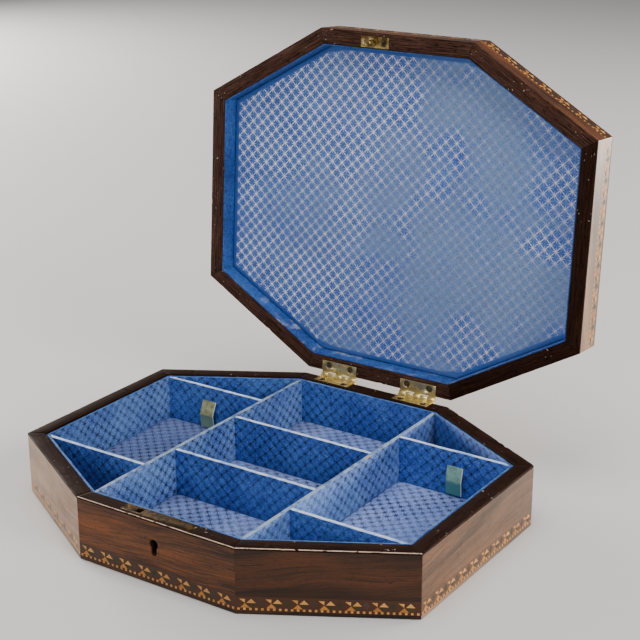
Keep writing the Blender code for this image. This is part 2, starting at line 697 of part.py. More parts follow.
def build_tray(pivot):
    plate("tray_floor", octagon(TRAY_OUTER), TRAY_LOW, TRAY_LOW + TRAY_FLOOR, "paper", pivot)
    walls = (TRAY_OUTER, TRAY_OUTER + TRAY_WALL)
    ring("tray_walls", walls, TRAY_INSIDE, TRAY_TOP, "paper", pivot)
    half = DIVIDER_THICK / 2
    levels = (TRAY_INSIDE, DIVIDER_TOP)
    inner_x = LONG_DIVIDER_X - half - GAP
    for hand, sign in (("left", -1), ("right", 1)):
        x = sign * LONG_DIVIDER_X
        outline = rectangle(x - half, x + half, -HALF_DEPTH, HALF_DEPTH)
        outline = clip_to_octagon(outline, TRAY_CLEAR)
        plate(f"tray_divider_long_{hand}", outline, *levels, "paper", pivot)
        near, far = sign * (LONG_DIVIDER_X + half + GAP), sign * HALF_LENGTH
        for end, way in (("front", -1), ("back", 1)):
            y = way * END_DIVIDER_Y
            outline = rectangle(min(near, far), max(near, far), y - half, y + half)
            outline = clip_to_octagon(outline, TRAY_CLEAR)
            plate(f"tray_divider_{hand}_{end}", outline, *levels, "paper", pivot)
    for end, y in CENTRE_DIVIDERS_Y.items():
        outline = rectangle(-inner_x, inner_x, y - half, y + half)
        plate(f"tray_divider_centre_{end}", outline, *levels, "paper", pivot)


def build_ribbons(tray_pivot):
    """Folded silk tabs, glued by their top edge to the front of the rear end dividers."""
    wall_y = END_DIVIDER_Y - DIVIDER_THICK / 2 - GAP
    thick = RIBBON_THICK
    for hand, x in RIBBON_X.items():
        fold_out, end_out = RIBBON_OUT[hand]
        outline = [
            (wall_y, RIBBON_TOP),
            (wall_y - fold_out, RIBBON_FOLD_Z),
            (wall_y - end_out, RIBBON_END_Z),
            (wall_y - end_out + thick, RIBBON_END_Z),
            (wall_y - fold_out + thick, RIBBON_FOLD_Z),
            (wall_y, RIBBON_TOP - 2.5 * thick),
        ]
        pivot = add_pivot(f"ribbon_{hand}_hinge", (x, wall_y, RIBBON_TOP))
        pivot.parent = tray_pivot
        pivot.matrix_parent_inverse = Matrix.Translation(-tray_pivot.location)
        bm = bmesh.new()
        prism(bm, outline, x - RIBBON_WIDE / 2, x + RIBBON_WIDE / 2, ALONG_X)
        add_object(f"ribbon_pull_{hand}", bm, "silk", pivot)


clear_scene()
lid_pivot = add_pivot(
    "lid_hinge", (0, HINGE_AXIS_Y, HINGE_AXIS_Z), -math.radians(LID_OPEN_DEG)
)
tray_pivot = add_pivot("tray_lift", (0, 0, TRAY_LOW))
build_base()
build_lock()
build_hinges(lid_pivot)
build_lid(lid_pivot)
build_tray(tray_pivot)
build_ribbons(tray_pivot)
bpy.context.view_layer.update()
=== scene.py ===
"""Looks of the octagonal inlaid box: polished rosewood, wood mosaic, blue star paper and old brass.

Pieces of the lid are drawn as if it were shut and are then turned open about its hinge.
"""

import json
import math

import bmesh
import bpy
from mathutils import Matrix, Vector, noise

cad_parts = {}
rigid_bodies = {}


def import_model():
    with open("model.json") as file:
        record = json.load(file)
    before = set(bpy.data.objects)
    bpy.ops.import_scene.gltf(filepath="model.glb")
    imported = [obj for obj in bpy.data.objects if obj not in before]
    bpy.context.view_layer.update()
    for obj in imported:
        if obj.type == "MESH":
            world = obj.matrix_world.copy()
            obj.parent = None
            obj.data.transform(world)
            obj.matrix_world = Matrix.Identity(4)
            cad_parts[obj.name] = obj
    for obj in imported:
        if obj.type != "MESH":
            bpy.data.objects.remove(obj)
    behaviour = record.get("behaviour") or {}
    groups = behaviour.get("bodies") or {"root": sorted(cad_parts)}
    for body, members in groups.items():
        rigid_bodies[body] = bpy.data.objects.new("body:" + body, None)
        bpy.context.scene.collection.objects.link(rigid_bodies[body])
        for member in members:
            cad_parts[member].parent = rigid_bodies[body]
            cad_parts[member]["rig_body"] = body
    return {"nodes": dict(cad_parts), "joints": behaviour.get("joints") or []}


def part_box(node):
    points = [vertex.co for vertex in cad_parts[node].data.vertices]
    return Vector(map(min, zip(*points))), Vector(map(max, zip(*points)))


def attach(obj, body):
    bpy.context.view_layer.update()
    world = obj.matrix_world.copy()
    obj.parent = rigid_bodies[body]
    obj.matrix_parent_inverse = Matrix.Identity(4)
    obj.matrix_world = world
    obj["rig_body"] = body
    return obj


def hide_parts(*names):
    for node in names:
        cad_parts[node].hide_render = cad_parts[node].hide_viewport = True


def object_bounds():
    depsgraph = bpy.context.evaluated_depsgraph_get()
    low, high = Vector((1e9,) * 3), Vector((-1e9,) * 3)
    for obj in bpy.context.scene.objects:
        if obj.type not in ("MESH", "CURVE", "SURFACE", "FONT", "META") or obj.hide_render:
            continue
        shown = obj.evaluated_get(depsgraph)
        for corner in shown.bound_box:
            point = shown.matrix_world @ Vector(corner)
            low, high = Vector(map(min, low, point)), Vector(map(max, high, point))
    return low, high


MM = 0.001

# ---------------------------------------------------------------- sizes

CAMERA_AT = (0.4598, -0.6352, 0.3927)
CAMERA_LOOKS = (-0.51869, 0.78595, -0.33652)
CAMERA_LENS = 84.6
CAMERA_SHIFT = (-0.022, 0.0066)

EDGE = 0.35 * MM
CORNER_R = 0.7 * MM
SHARPEST_R = 0.05 * MM
CORNER_PARTS = 4
TOP_ROUND = 2.2 * MM
SEAM = 0.03 * MM
VENEER = 0.9 * MM
INLAY = 0.3 * MM
MOTIF = 12.8 * MM
SQUARE_PITCH = 3.05 * MM
STAR_PITCH = 5.13 * MM
STAR_BORDER = 4.4 * MM
PAPER_WAVE = 0.1 * MM
PAPER_STEP = 5 * MM
CARD_THICK = 0.5 * MM
PAPER_SINK = 0.2 * MM
DIVIDER_GAP = 0.35 * MM
RECESS_PLAY = 0.08 * MM
CARD_ROUND = 4.5 * MM
KEYHOLE_REACH = 5 * MM
CHIP_REACH = 1.2 * MM
CHIP_DEPTH = 1.6 * MM
CHIP_STEP = 2.2 * MM

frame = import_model()
cad_low, cad_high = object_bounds()


def joint(name):
    return next(j for j in frame["joints"] if j["name"] == name)


def turn_about(point, axis, degrees):
    place = Matrix.Translation(Vector(point))
    return place @ Matrix.Rotation(math.radians(degrees), 4, Vector(axis)) @ place.inverted()


HINGE = joint("lid_hinge")
LID_OPEN = turn_about(HINGE["pos_m"], HINGE["axis"], -HINGE["range_deg"][0])
LID_SHUT = LID_OPEN.inverted()


def node_points(node):
    return [v.co for v in frame["nodes"][node].data.vertices]


def shut_points(node):
    """A node's points with the lid shut."""
    turned = frame["nodes"][node]["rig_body"] == "lid"
    return [LID_SHUT @ p if turned else p for p in node_points(node)]


def shut_box(node):
    """Lowest and highest corners of a node with the lid shut."""
    points = shut_points(node)
    low = Vector([min(p[k] for p in points) for k in range(3)])
    high = Vector([max(p[k] for p in points) for k in range(3)])
    return low, high


def ring_depth(node):
    """How far a ring node's inner edge lies in from its outer edge, read at its right end."""
    points = shut_points(node)
    outer = max(p.x for p in points)
    return outer - max(p.x for p in points if outer - p.x > 1 * MM)


def outline_corners():
    """The eight corners of the case, counter-clockwise from the left end of the front."""
    points = node_points("base_foot_strip")
    half_x = max(p.x for p in points)
    half_y = max(p.y for p in points)
    near = 0.01 * MM
    front = max(p.x for p in points if half_y - p.y < near)
    end = max(p.y for p in points if half_x - p.x < near)
    quarter = [(front, half_y), (half_x, end)]
    corners = [(-x, -y) for x, y in quarter[:1]] + [(x, -y) for x, y in quarter]
    corners += [(x, y) for x, y in quarter[::-1]]
    corners += [(-x, y) for x, y in quarter] + [(-x, -y) for x, y in quarter[1:]]
    return [Vector(c) for c in corners]


CORNERS = outline_corners()
COUNT = len(CORNERS)
HALF_WIDTH = max(corner.x for corner in CORNERS)


def side_lines(inset):
    lines = []
    for start, stop in zip(CORNERS, CORNERS[1:] + CORNERS[:1]):
        along = (stop - start).normalized()
        inward = Vector((-along.y, along.x))
        lines.append((inward, inward.dot(start) + inset))
    return lines


def octagon(inset):
    """The corners of the case's outline, with each side moved in."""
    lines = side_lines(inset)
    corners = []
    for (n0, c0), (n1, c1) in zip(lines[-1:] + lines[:-1], lines):
        det = n0.x * n1.y - n0.y * n1.x
        corners.append(Vector(((c0 * n1.y - c1 * n0.y) / det, (n0.x * c1 - n1.x * c0) / det)))
    return corners


def side_strips(outer_inset, inner_inset):
    """The outlines of the eight mitred strips between two insets."""
    outer, inner = octagon(outer_inset), octagon(inner_inset)
    following = [*range(1, COUNT), 0]
    return [[outer[i], outer[j], inner[j], inner[i]] for i, j in enumerate(following)]


def round_corners(points, radius):
    """A counter-clockwise outline with each corner turned into a small arc."""
    rounded = []
    for i, corner in enumerate(points):
        before = (points[i - 1] - corner).normalized()
        after = (points[(i + 1) % len(points)] - corner).normalized()
        half = before.angle(after) / 2
        centre = corner + (before + after).normalized() * radius / math.sin(half)
        first = corner + before * radius / math.tan(half)
        for k in range(CORNER_PARTS + 1):
            turn = Matrix.Rotation((math.pi - 2 * half) * k / CORNER_PARTS, 2)
            rounded.append(centre + turn @ (first - centre))
    return rounded


def side_frames():
    """For each side: its start corner, its length, its direction and its outward normal."""
    frames = []
    for start, stop in zip(CORNERS, CORNERS[1:] + CORNERS[:1]):
        along = (stop - start).normalized()
        frames.append((start, (stop - start).length, along, Vector((along.y, -along.x))))
    return frames


# ---------------------------------------------------------------- materials


class Graph:
    """A material's nodes, added one call at a time. Sockets are linked and numbers are set."""

    def __init__(self, name, **sockets):
        self.material = bpy.data.materials.new(name)
        self.material.use_nodes = True
        self.tree = self.material.node_tree
        self.shader = self.tree.nodes["Principled BSDF"]
        for socket, value in sockets.items():
            self.put(self.shader, socket.replace("_", " "), value)

    def put(self, node, key, value):
        if isinstance(value, bpy.types.NodeSocket):
            self.tree.links.new(value, node.inputs[key])
        else:
            node.inputs[key].default_value = value

    def add(self, kind, inputs, output=0, **settings):
        node = self.tree.nodes.new("ShaderNode" + kind)
        for setting, value in settings.items():
            setattr(node, setting, value)
        for key, value in inputs.items():
            self.put(node, key, value)
        return node.outputs[output]

    def uv(self, layer="grain"):
        return self.add("UVMap", {}, uv_map=layer)

    def parts(self, vector):
        """The vector's first two numbers."""
        node = self.tree.nodes.new("ShaderNodeSeparateXYZ")
        self.put(node, 0, vector)
        return node.outputs[0], node.outputs[1]

    def object_point(self):
        return self.add("TexCoord", {}, "Object")

    def island(self):
        return self.add("NewGeometry", {}, "Random Per Island")

    def math(self, operation, a, b=0.0, clamp=False):
        return self.add("Math", {0: a, 1: b}, operation=operation, use_clamp=clamp)

    def stretch(self, vector, scale):
        return self.add("VectorMath", {0: vector, 1: scale}, operation="MULTIPLY")

    def noise(self, vector, scale, detail=4.0, roughness=0.55, distortion=0.0):
        settings = {"Vector": vector, "Scale": scale, "Detail": detail}
        settings.update({"Roughness": roughness, "Distortion": distortion})
        return self.add("TexNoise", settings)

    def ramp(self, value, *stops):
        """A colour ramp with (place, colour) stops."""
        out = self.add("ValToRGB", {"Fac": value})
        ramp = out.node.color_ramp
        while len(ramp.elements) < len(stops):
            ramp.elements.new(0.5)
        for element, (place, color) in zip(ramp.elements, stops):
            element.position = place
            element.color = (*color, 1.0) if len(color) == 3 else color
        return out

    def span(self, value, low, high, new_low=0.0, new_high=1.0):
        """The value's span from low to high, eased on to a new span."""
        places = {"Value": value, "From Min": low, "From Max": high}
        places.update({"To Min": new_low, "To Max": new_high})
        return self.add("MapRange", places, interpolation_type="SMOOTHSTEP")

    def mix(self, share, a, b, blend="MIX"):
        node = self.tree.nodes.new("ShaderNodeMix")
        node.data_type = "RGBA"
        node.blend_type = blend
        for index, value in ((0, share), (6, a), (7, b)):
            if isinstance(value, tuple) and len(value) == 3:
                value = (*value, 1.0)
            self.put(node, index, value)
        return node.outputs[2]

    def color(self, socket):
        self.put(self.shader, "Base Color", socket)

    def bump(self, height, distance, strength=1.0):
        inputs = {"Height": height, "Distance": distance, "Strength": strength}
        self.put(self.shader, "Normal", self.add("Bump", inputs))


def veneer_material(name, dark, mid, red, gloss, shine=0.27):
    """Polished rosewood: dark curving lines on brown, orange-red zones and short pores."""
    g = Graph(name, Specular_IOR_Level=shine, Coat_Weight=0.03, Coat_Roughness=0.16)
    uv = g.uv()
    sway = g.noise(g.stretch(uv, (11, 17, 0)), 1.0, 2.0)
    lift = g.add("CombineXYZ", {"Y": g.math("MULTIPLY", sway, 0.015)})
    slanted = g.add("VectorRotate", {"Vector": uv, "Angle": -0.07}, rotation_type="Z_AXIS")
    wavy = g.add("VectorMath", {0: slanted, 1: lift}, operation="ADD")
    zones = g.noise(g.stretch(wavy, (8, 75, 0)), 1.0, 4.0, 0.55, 0.4)
    ground = g.ramp(zones, (0.34, dark), (0.48, mid), (0.64, red))
    figure = g.noise(g.stretch(wavy, (26, 1500, 0)), 1.0, 4.0, 0.72, 0.5)
    lined = g.mix(g.span(figure, 0.46, 0.66, 0.0, 0.8), ground, dark)
    lit = g.mix(g.span(figure, 0.48, 0.34, 0.0, 0.5), lined, red)
    pores = g.noise(g.stretch(slanted, (260, 2300, 0)), 1.0, 1.0)
    pore = g.span(pores, 0.62, 0.7, 0.0, 0.85)
    g.color(g.mix(pore, lit, tuple(c * 0.3 for c in dark)))
    smear = g.noise(g.object_point(), 60.0, 3.0)
    g.put(g.shader, "Roughness", g.span(smear, 0.3, 0.7, gloss, gloss + 0.14))
    g.bump(g.math("ADD", g.math("MULTIPLY", pore, -0.6), figure), 0.06 * MM, 0.5)
    return g.material


def rim_material(name, dark, mid, speck, line=None):
    """Near-black rosewood edge with fine streaks; line adds a painted highlight along the outer edge, broken
    by noise.
    """
    g = Graph(name, Specular_IOR_Level=0.05)
    uv = g.uv()
    point = g.object_point()
    streak = g.noise(g.stretch(uv, (45, 1500, 0)), 1.0, 4.0, 0.65)
    tone = g.ramp(streak, (0.36, dark), (0.66, mid))
    pores = g.noise(g.stretch(uv, (230, 1700, 0)), 1.0, 1.0)
    tone = g.mix(g.span(pores, 0.6, 0.68, 0.0, 0.9), tone, tuple(c * 0.25 for c in dark))
    specks = g.noise(point, 520.0, 3.0, 0.6)
    patch = g.span(g.noise(point, 34.0, 1.0), 0.51, 0.57)
    tone = g.mix(g.math("MULTIPLY", g.span(specks, 0.68, 0.705), patch), tone, speck)
    # The bright line is a painted highlight on the rounded outer edge, broken by noise.
    if line:
        broken_highlight = g.noise(point, 260.0, 4.0, 0.65)
        tone = g.mix(g.span(broken_highlight, 0.36, 0.46), tone, line)
    g.color(tone)
    smear = g.noise(point, 90.0, 3.0)
    g.put(g.shader, "Roughness", g.span(smear, 0.3, 0.7, 0.56, 0.74))
    g.bump(streak, 0.05 * MM, 0.5)
    return g.material


def plain_wood_material(name, light, dark, roughness):
    """Planed softwood seen on hidden faces."""
    g = Graph(name, Roughness=roughness)
    point = g.object_point()
    grain = g.noise(g.stretch(point, (30, 300, 300)), 1.0, 5.0, 0.6, 0.4)
    fibre = g.noise(g.stretch(point, (120, 1500, 1500)), 1.0, 2.0)
    tone = g.ramp(grain, (0.35, dark), (0.62, light))
    g.color(g.mix(g.span(fibre, 0.45, 0.75, 0.0, 0.35), tone, dark))
    g.bump(fibre, 0.05 * MM, 0.4)
    return g.material


def tile_material(name, base, vary):
    """A small piece of the mosaic, each with its own tone and fine end grain."""
    g = Graph(name, Roughness=0.34, Specular_IOR_Level=0.3, Coat_Weight=0.06)
    point = g.object_point()
    grain = g.noise(g.stretch(point, (900, 900, 4200)), 1.0, 3.0)
    low = tuple(c * (1 - vary) for c in base)
    high = tuple(min(1.0, c * (1 + vary)) for c in base)
    tone = g.ramp(g.island(), (0.0, low), (1.0, high))
    g.color(g.mix(g.span(grain, 0.4, 0.75, 0.0, 0.45), tone, tuple(c * 0.6 for c in base)))
    g.bump(grain, 0.03 * MM, 0.4)
    return g.material


def star_print(g, size, line_share):
    """A net of thin lines with an eight-rayed star where they cross, from 0 to 1.

    Each cell is one pitch square and stands on its corner. Near and far are the distances, in
    cells, to the closer and the further of the two families of lines.
    """
    slip = g.math("MULTIPLY", g.math("SUBTRACT", g.noise(g.object_point(), 170.0, 2.0), 0.5), 0.05)
    u, v = g.parts(g.uv())
    lines = []
    for operation in ("ADD", "SUBTRACT"):
        across = g.math(operation, u, v)
        cells = g.math("MULTIPLY", across, 1 / (math.sqrt(2) * STAR_PITCH))
        lines.append(g.math("PINGPONG", g.math("ADD", cells, slip), 0.5))
    near, far = g.math("MINIMUM", *lines), g.math("MAXIMUM", *lines)
    line = g.span(near, 0.068, 0.03, 0.0, line_share)
    taper = g.math("MULTIPLY", far, 0.12)
    long_ray = g.span(g.math("ADD", near, taper), 0.085 * size, 0.05 * size)
    between = g.math("SUBTRACT", far, near)
    short_ray = g.span(g.math("ADD", between, taper), 0.1 * size, 0.06 * size)
    star = g.math("MULTIPLY", g.math("MAXIMUM", long_ray, short_ray), g.span(far, 0.38, 0.26))
    return g.math("MAXIMUM", line, star)


def paper_ground(g, light, dark):
    """Cloudy blue with dark and pale flecks."""
    point = g.object_point()
    cloud = g.noise(point, 30.0, 6.0, 0.62)
    ground = g.ramp(cloud, (0.32, dark), (0.66, light))
    mottle = g.noise(point, 640.0, 4.0, 0.8)
    ground = g.mix(g.span(mottle, 0.5, 0.62, 0.0, 0.6), ground, tuple(c * 0.35 for c in dark))
    return g.mix(g.span(mottle, 0.48, 0.36, 0.0, 0.4), ground, tuple(c**0.62 for c in light))


def paper_material(name, light, dark, ink, size, line, worn=None, border=None, left_painted_shade=0.0):
    """Blue paper printed with the star net, rubbed and faded in places.

    The ink is a metallic ink drawn flat, with a colour for the left of the box and one for the right;
    these colours are painted reflection: a bright glint on the lid, dimmer where tarnished on its
    right, and near black in the tray. worn is what the ground turns to where it is rubbed. border
    is the colour of the plain margin along a panel's edge.
    left_painted_shade is how much darker the ground is on the left, a painted shade.
    """
    g = Graph(name, Roughness=0.6, Sheen_Weight=0.08, Specular_IOR_Level=0.3)
    point = g.object_point()
    rubbed = g.noise(point, 17.0, 5.0, 0.62)
    grit = g.noise(point, 1500.0, 3.0, 0.7)
    side, _ = g.parts(point)
    rightward = g.math("ADD", side, g.math("MULTIPLY", g.math("SUBTRACT", rubbed, 0.5), 0.22))
    away = g.span(rightward, -0.1, 0.04)
    held = g.math("MULTIPLY", star_print(g, size, line), g.span(rubbed, 0.46, 0.64, 1.0, 0.6))
    held = g.math("MULTIPLY", held, g.span(g.noise(point, 900.0, 2.0), 0.36, 0.54, 0.6, 1.0))
    ground = paper_ground(g, light, dark)
    # Painted shade: the ground darkens towards the left of the box.
    if left_painted_shade:
        ground = g.mix(g.span(away, 1.0, 0.0, 0.0, left_painted_shade), ground, tuple(c * 0.25 for c in dark))
    if worn:
        bare = g.math("MULTIPLY", away, g.span(g.noise(point, 27.0, 4.0, 0.62), 0.65, 0.42))
        held = g.math("MULTIPLY", held, g.span(bare, 0.0, 1.0, 1.0, 0.24))
        ground = g.mix(g.math("MULTIPLY", bare, 0.7), ground, worn)
        dust = g.math("MULTIPLY", bare, g.span(g.noise(point, 950.0, 3.0, 0.7), 0.5, 0.62, 0.0, 0.6))
        ground = g.mix(dust, ground, tuple(c * 0.4 for c in worn))
    if border:
        distance, _ = g.parts(g.uv("border"))
        drift = g.math("MULTIPLY", g.math("SUBTRACT", grit, 0.5), 2.4 * MM)
        inside = g.span(g.math("ADD", distance, drift), STAR_BORDER - 1.2 * MM, STAR_BORDER)
        held = g.math("MULTIPLY", held, inside)
        ground = g.mix(inside, g.mix(0.8, ground, border), ground)
    g.color(g.mix(held, ground, g.mix(away, *ink)))
    g.put(g.shader, "Roughness", g.span(held, 0.0, 1.0, 0.62, 0.42))
    low_wave = g.math("MULTIPLY", g.noise(point, 45.0, 2.0), 3.0)
    g.bump(g.math("ADD", g.math("ADD", grit, g.math("MULTIPLY", held, 0.4)), low_wave), 0.06 * MM, 0.5)
    return g.material


def side_paper_material():
    """The plain deep blue paper inside the lid's sides, mottled and worn white by the hinges."""
    g = Graph("blue_paper_plain", Roughness=0.55)
    point = g.object_point()
    ground = paper_ground(g, (0.028, 0.115, 0.4), (0.011, 0.055, 0.26))
    mottle = g.noise(point, 330.0, 3.0, 0.6)
    ground = g.mix(g.span(mottle, 0.52, 0.66, 0.0, 0.65), ground, (0.004, 0.02, 0.11))
    worn = g.noise(g.stretch(point, (60, 60, 160)), 1.0, 4.0, 0.7)
    split = g.tree.nodes.new("ShaderNodeSeparateXYZ")
    g.put(split, 0, point)
    low = g.span(split.outputs[2], 0.095, 0.055)
    g.color(g.mix(g.math("MULTIPLY", low, g.span(worn, 0.52, 0.68, 0.0, 0.75)), ground, (0.4, 0.46, 0.58)))
    g.bump(mottle, 0.06 * MM, 0.5)
    return g.material


def worn_edge_material(name, blue, pale, bare_share):
    """Paper worn over a top edge, from blue to pale, with bare card showing in spots."""
    g = Graph(name, Roughness=0.7)
    point = g.object_point()
    patches = g.noise(point, 150.0, 5.0, 0.65)
    specks = g.noise(point, 1200.0, 3.0, 0.7)
    tone = g.ramp(patches, (0.36, blue), (0.54, pale))
    bare = g.span(g.noise(point, 110.0, 4.0, 0.6), *bare_share)
    spotted = g.mix(bare, tone, (0.5, 0.3, 0.13))
    g.color(g.mix(g.span(specks, 0.52, 0.68, 0.0, 0.6), spotted, tuple(c * 0.3 for c in blue)))
    g.bump(specks, 0.08 * MM, 0.6)
    return g.material


def silk_material(name, top, glint, low):
    """Faded silk with fine ribs across: pale down to the fold, dark below it as painted shade, white at one
    edge.
    """
    g = Graph(name, Roughness=0.42, Sheen_Weight=0.4, Sheen_Roughness=0.35)
    uv = g.uv()
    across, down = g.parts(uv)
    waves = {"Vector": uv, "Scale": 11.0, "Distortion": 1.5, "Detail": 2.0, "Detail Scale": 2.0}
    ribs = g.add("TexWave", waves, 1, bands_direction="Y")
    soil = g.noise(g.object_point(), 330.0, 4.0, 0.6)
    tone = g.ramp(soil, (0.34, top), (0.6, glint))
    # Below the fold the silk is darkened as painted shade.
    below = g.mix(g.math("MULTIPLY", ribs, 0.55), low, tuple(min(1, c * 3) for c in low))
    tone = g.mix(g.span(down, 0.53, 0.64), tone, below)
    tone = g.mix(g.math("MULTIPLY", ribs, 0.2), tone, tuple(c * 0.5 for c in top))
    g.color(g.mix(g.span(across, 0.95, 0.97), tone, (0.66, 0.7, 0.68)))
    g.bump(ribs, 0.08 * MM, 0.6)
    return g.material


def metal_material(name, bright, dull, roughness, tarnish):
    """Old metal: bright where it is rubbed, dull and dark in blotches."""
    g = Graph(name, Metallic=1.0)
    point = g.object_point()
    blotch = g.noise(point, 260.0, 5.0, 0.6)
    scratch = g.noise(g.stretch(point, (300, 4000, 4000)), 1.0, 3.0)
    stain = g.span(blotch, *tarnish)
    g.color(g.mix(stain, bright, dull))
    g.put(g.shader, "Roughness", g.span(stain, 0.0, 1.0, roughness, roughness + 0.25))
    g.bump(g.math("ADD", scratch, blotch), 0.03 * MM, 0.5)
    return g.material


ROSEWOOD = {
    "dark": (0.015, 0.006, 0.003),
    "mid": (0.112, 0.036, 0.009),
    "red": (0.29, 0.082, 0.017),
}
DARK_ROSEWOOD = {
    "dark": (0.009, 0.004, 0.002),
    "mid": (0.034, 0.0125, 0.004),
    "red": (0.08, 0.025, 0.007),
}
# Lighter rosewood for the sides whose polished sheen is painted into the colour.
SOFT_SHEEN_ROSEWOOD = {
    "dark": (0.03, 0.015, 0.007),
    "mid": (0.115, 0.053, 0.022),
    "red": (0.2, 0.088, 0.035),
}
PAINTED_SHEEN_ROSEWOOD = {
    "dark": (0.08, 0.044, 0.023),
    "mid": (0.24, 0.13, 0.065),
    "red": (0.36, 0.19, 0.095),
}
RIM = {"dark": (0.006, 0.0022, 0.0012), "mid": (0.034, 0.0125, 0.006), "speck": (0.62, 0.5, 0.4)}
# The metallic ink in the tray is drawn flat in near black, a painted dark reflection.
DARK_REFLECTION_INK = ((0.002, 0.004, 0.016), (0.003, 0.004, 0.016))
MATERIALS = {
    "veneer": veneer_material("rosewood_veneer", **ROSEWOOD, gloss=0.32),
    "veneer_dark": veneer_material("rosewood_dark", **DARK_ROSEWOOD, gloss=0.32),
    # Painted sheen: lighter veneer for the right end and the diagonal to the front's left.
    "soft_sheen_veneer": veneer_material("rosewood_soft_sheen", **SOFT_SHEEN_ROSEWOOD, gloss=0.34, shine=0.42),
    "painted_sheen_veneer": veneer_material("rosewood_painted_sheen", **PAINTED_SHEEN_ROSEWOOD, gloss=0.34, shine=0.5),
    "top": veneer_material("rosewood_top", **ROSEWOOD, gloss=0.2),
    "rim": rim_material("rim_facing", **RIM),
    # The front rims' outer edge carries a painted highlight in a pale colour.
    "rim_painted_highlight": rim_material("rim_facing_painted_highlight", **RIM, line=(0.66, 0.48, 0.36)),
    "lid_rim": rim_material("lid_rim", (0.008, 0.0035, 0.0025), (0.105, 0.047, 0.03), RIM["speck"]),
    "carcass": plain_wood_material("carcass_wood", (0.22, 0.12, 0.06), (0.12, 0.06, 0.03), 0.6),
    # Near-black wood seen only through the keyhole: painted shade in the hole.
    "carcass_keyhole_painted_shade": plain_wood_material("carcass_painted_shade", (0.03, 0.016, 0.009), (0.01, 0.006, 0.004), 0.7),
    "ground": tile_material("mosaic_ground", (0.056, 0.018, 0.005), 0.15),
    # Lighter mosaic grounds: painted sheen on the same sides as the lighter veneer.
    "soft_sheen_ground": tile_material("mosaic_soft_sheen_ground", (0.11, 0.05, 0.021), 0.15),
    "painted_sheen_ground": tile_material("mosaic_painted_sheen_ground", (0.2, 0.11, 0.055), 0.15),
    "light": tile_material("mosaic_light", (0.58, 0.27, 0.07), 0.22),
    "gold": tile_material("mosaic_gold", (0.44, 0.165, 0.026), 0.22),
    "green": tile_material("mosaic_green", (0.03, 0.026, 0.007), 0.25),
    "grey": tile_material("mosaic_grey", (0.05, 0.028, 0.018), 0.2),
    # The lid's ink is a painted glint of metallic ink: white on the left, dimmer and tarnished on the right.
    "lid_paper": paper_material(
        "star_paper_lid",
        light=(0.09, 0.2, 0.56),
        dark=(0.035, 0.11, 0.44),
        ink=((0.97, 0.97, 0.99), (0.8, 0.76, 0.76)),
        size=0.8,
        line=0.9,
        worn=(0.2, 0.3, 0.5),
        border=(0.016, 0.085, 0.33),
    ),
    # The tray's paper, darkened as painted shade, and a lighter copy as painted light for faces turned to
    # the right.
    "wall_paper": paper_material(
        "star_paper_tray",
        light=(0.055, 0.16, 0.52),
        dark=(0.016, 0.064, 0.36),
        ink=DARK_REFLECTION_INK,
        size=0.85,
        line=0.9,
    ),
    "tray_paper_painted_light": paper_material(
        "tray_star_paper_painted_light",
        light=(0.15, 0.28, 0.6),
        dark=(0.045, 0.115, 0.43),
        ink=DARK_REFLECTION_INK,
        size=1.1,
        line=1.0,
    ),
    # The floors' near-black ink is the metallic ink's painted dark reflection.
    "floor_paper": paper_material(
        "star_paper_floor",
        light=(0.34, 0.45, 0.86),
        dark=(0.2, 0.31, 0.74),
        ink=((0.008, 0.006, 0.03), (0.012, 0.008, 0.03)),
        size=1.15,
        line=0.9,
        # The floors are darker on the left as painted shade.
        left_painted_shade=0.55,
    ),
    "side_paper": side_paper_material(),
    "wall_edge": worn_edge_material("paper_wall_edge", (0.012, 0.05, 0.2), (0.06, 0.17, 0.44), (0.8, 0.9)),
    # The cross dividers' worn tops are paler as a painted highlight, on top of the real wear.
    "worn_edge_painted_highlight": worn_edge_material("paper_worn_edge_painted_highlight", (0.2, 0.36, 0.8), (0.66, 0.78, 1.0), (0.66, 0.72)),
    "worn_blue": worn_edge_material("paper_worn_blue", (0.05, 0.12, 0.3), (0.27, 0.37, 0.5), (0.6, 0.66)),
    # The last colour of each silk is its part below the fold, darkened as painted shade.
    "silk_left": silk_material("silk_khaki", (0.2, 0.21, 0.08), (0.38, 0.4, 0.22), (0.13, 0.2, 0.14)),
    "silk_right": silk_material("silk_green", (0.13, 0.28, 0.2), (0.25, 0.46, 0.36), (0.035, 0.15, 0.14)),
    "brass": metal_material("brass_pale", (0.95, 0.78, 0.34), (0.5, 0.36, 0.13), 0.3, (0.46, 0.66)),
    "brass_aged": metal_material("brass_aged", (0.52, 0.38, 0.14), (0.12, 0.07, 0.02), 0.3, (0.36, 0.56)),
    "patina": metal_material("brass_dark", (0.2, 0.11, 0.025), (0.04, 0.024, 0.01), 0.46, (0.38, 0.56)),
    "steel": metal_material("steel_dull", (0.36, 0.35, 0.33), (0.13, 0.11, 0.09), 0.36, (0.42, 0.66)),
    "screw": metal_material("screw_dark", (0.24, 0.18, 0.1), (0.06, 0.045, 0.03), 0.4, (0.4, 0.62)),
}

# ---------------------------------------------------------------- mesh helpers

# How far the grain is moved, along and across, from one side of the box to the next.
GRAIN_STEP = (0.37, 0.11)


def start_mesh():
    bm = bmesh.new()
    bm.loops.layers.uv.new("grain")
    return bm


def map_faces(bm, faces, along=None, shift=(0.0, 0.0)):
    """Lay the grain coordinates, in metres, over faces. Without along, level faces use X and Y."""
    layer = bm.loops.layers.uv["grain"]
    for face in faces:
        normal = face.normal
        if along is not None and abs(normal.dot(along)) < 0.9:
            first, second = along, normal.cross(along)
        elif abs(normal.z) > 0.7:
            first, second = Vector((1, 0, 0)), Vector((0, 1, 0))
        else:
            first, second = Vector((-normal.y, normal.x, 0)).normalized(), Vector((0, 0, 1))
        for loop in face.loops:
            co = loop.vert.co
            loop[layer].uv = (co.dot(first) + shift[0], co.dot(second) + shift[1])


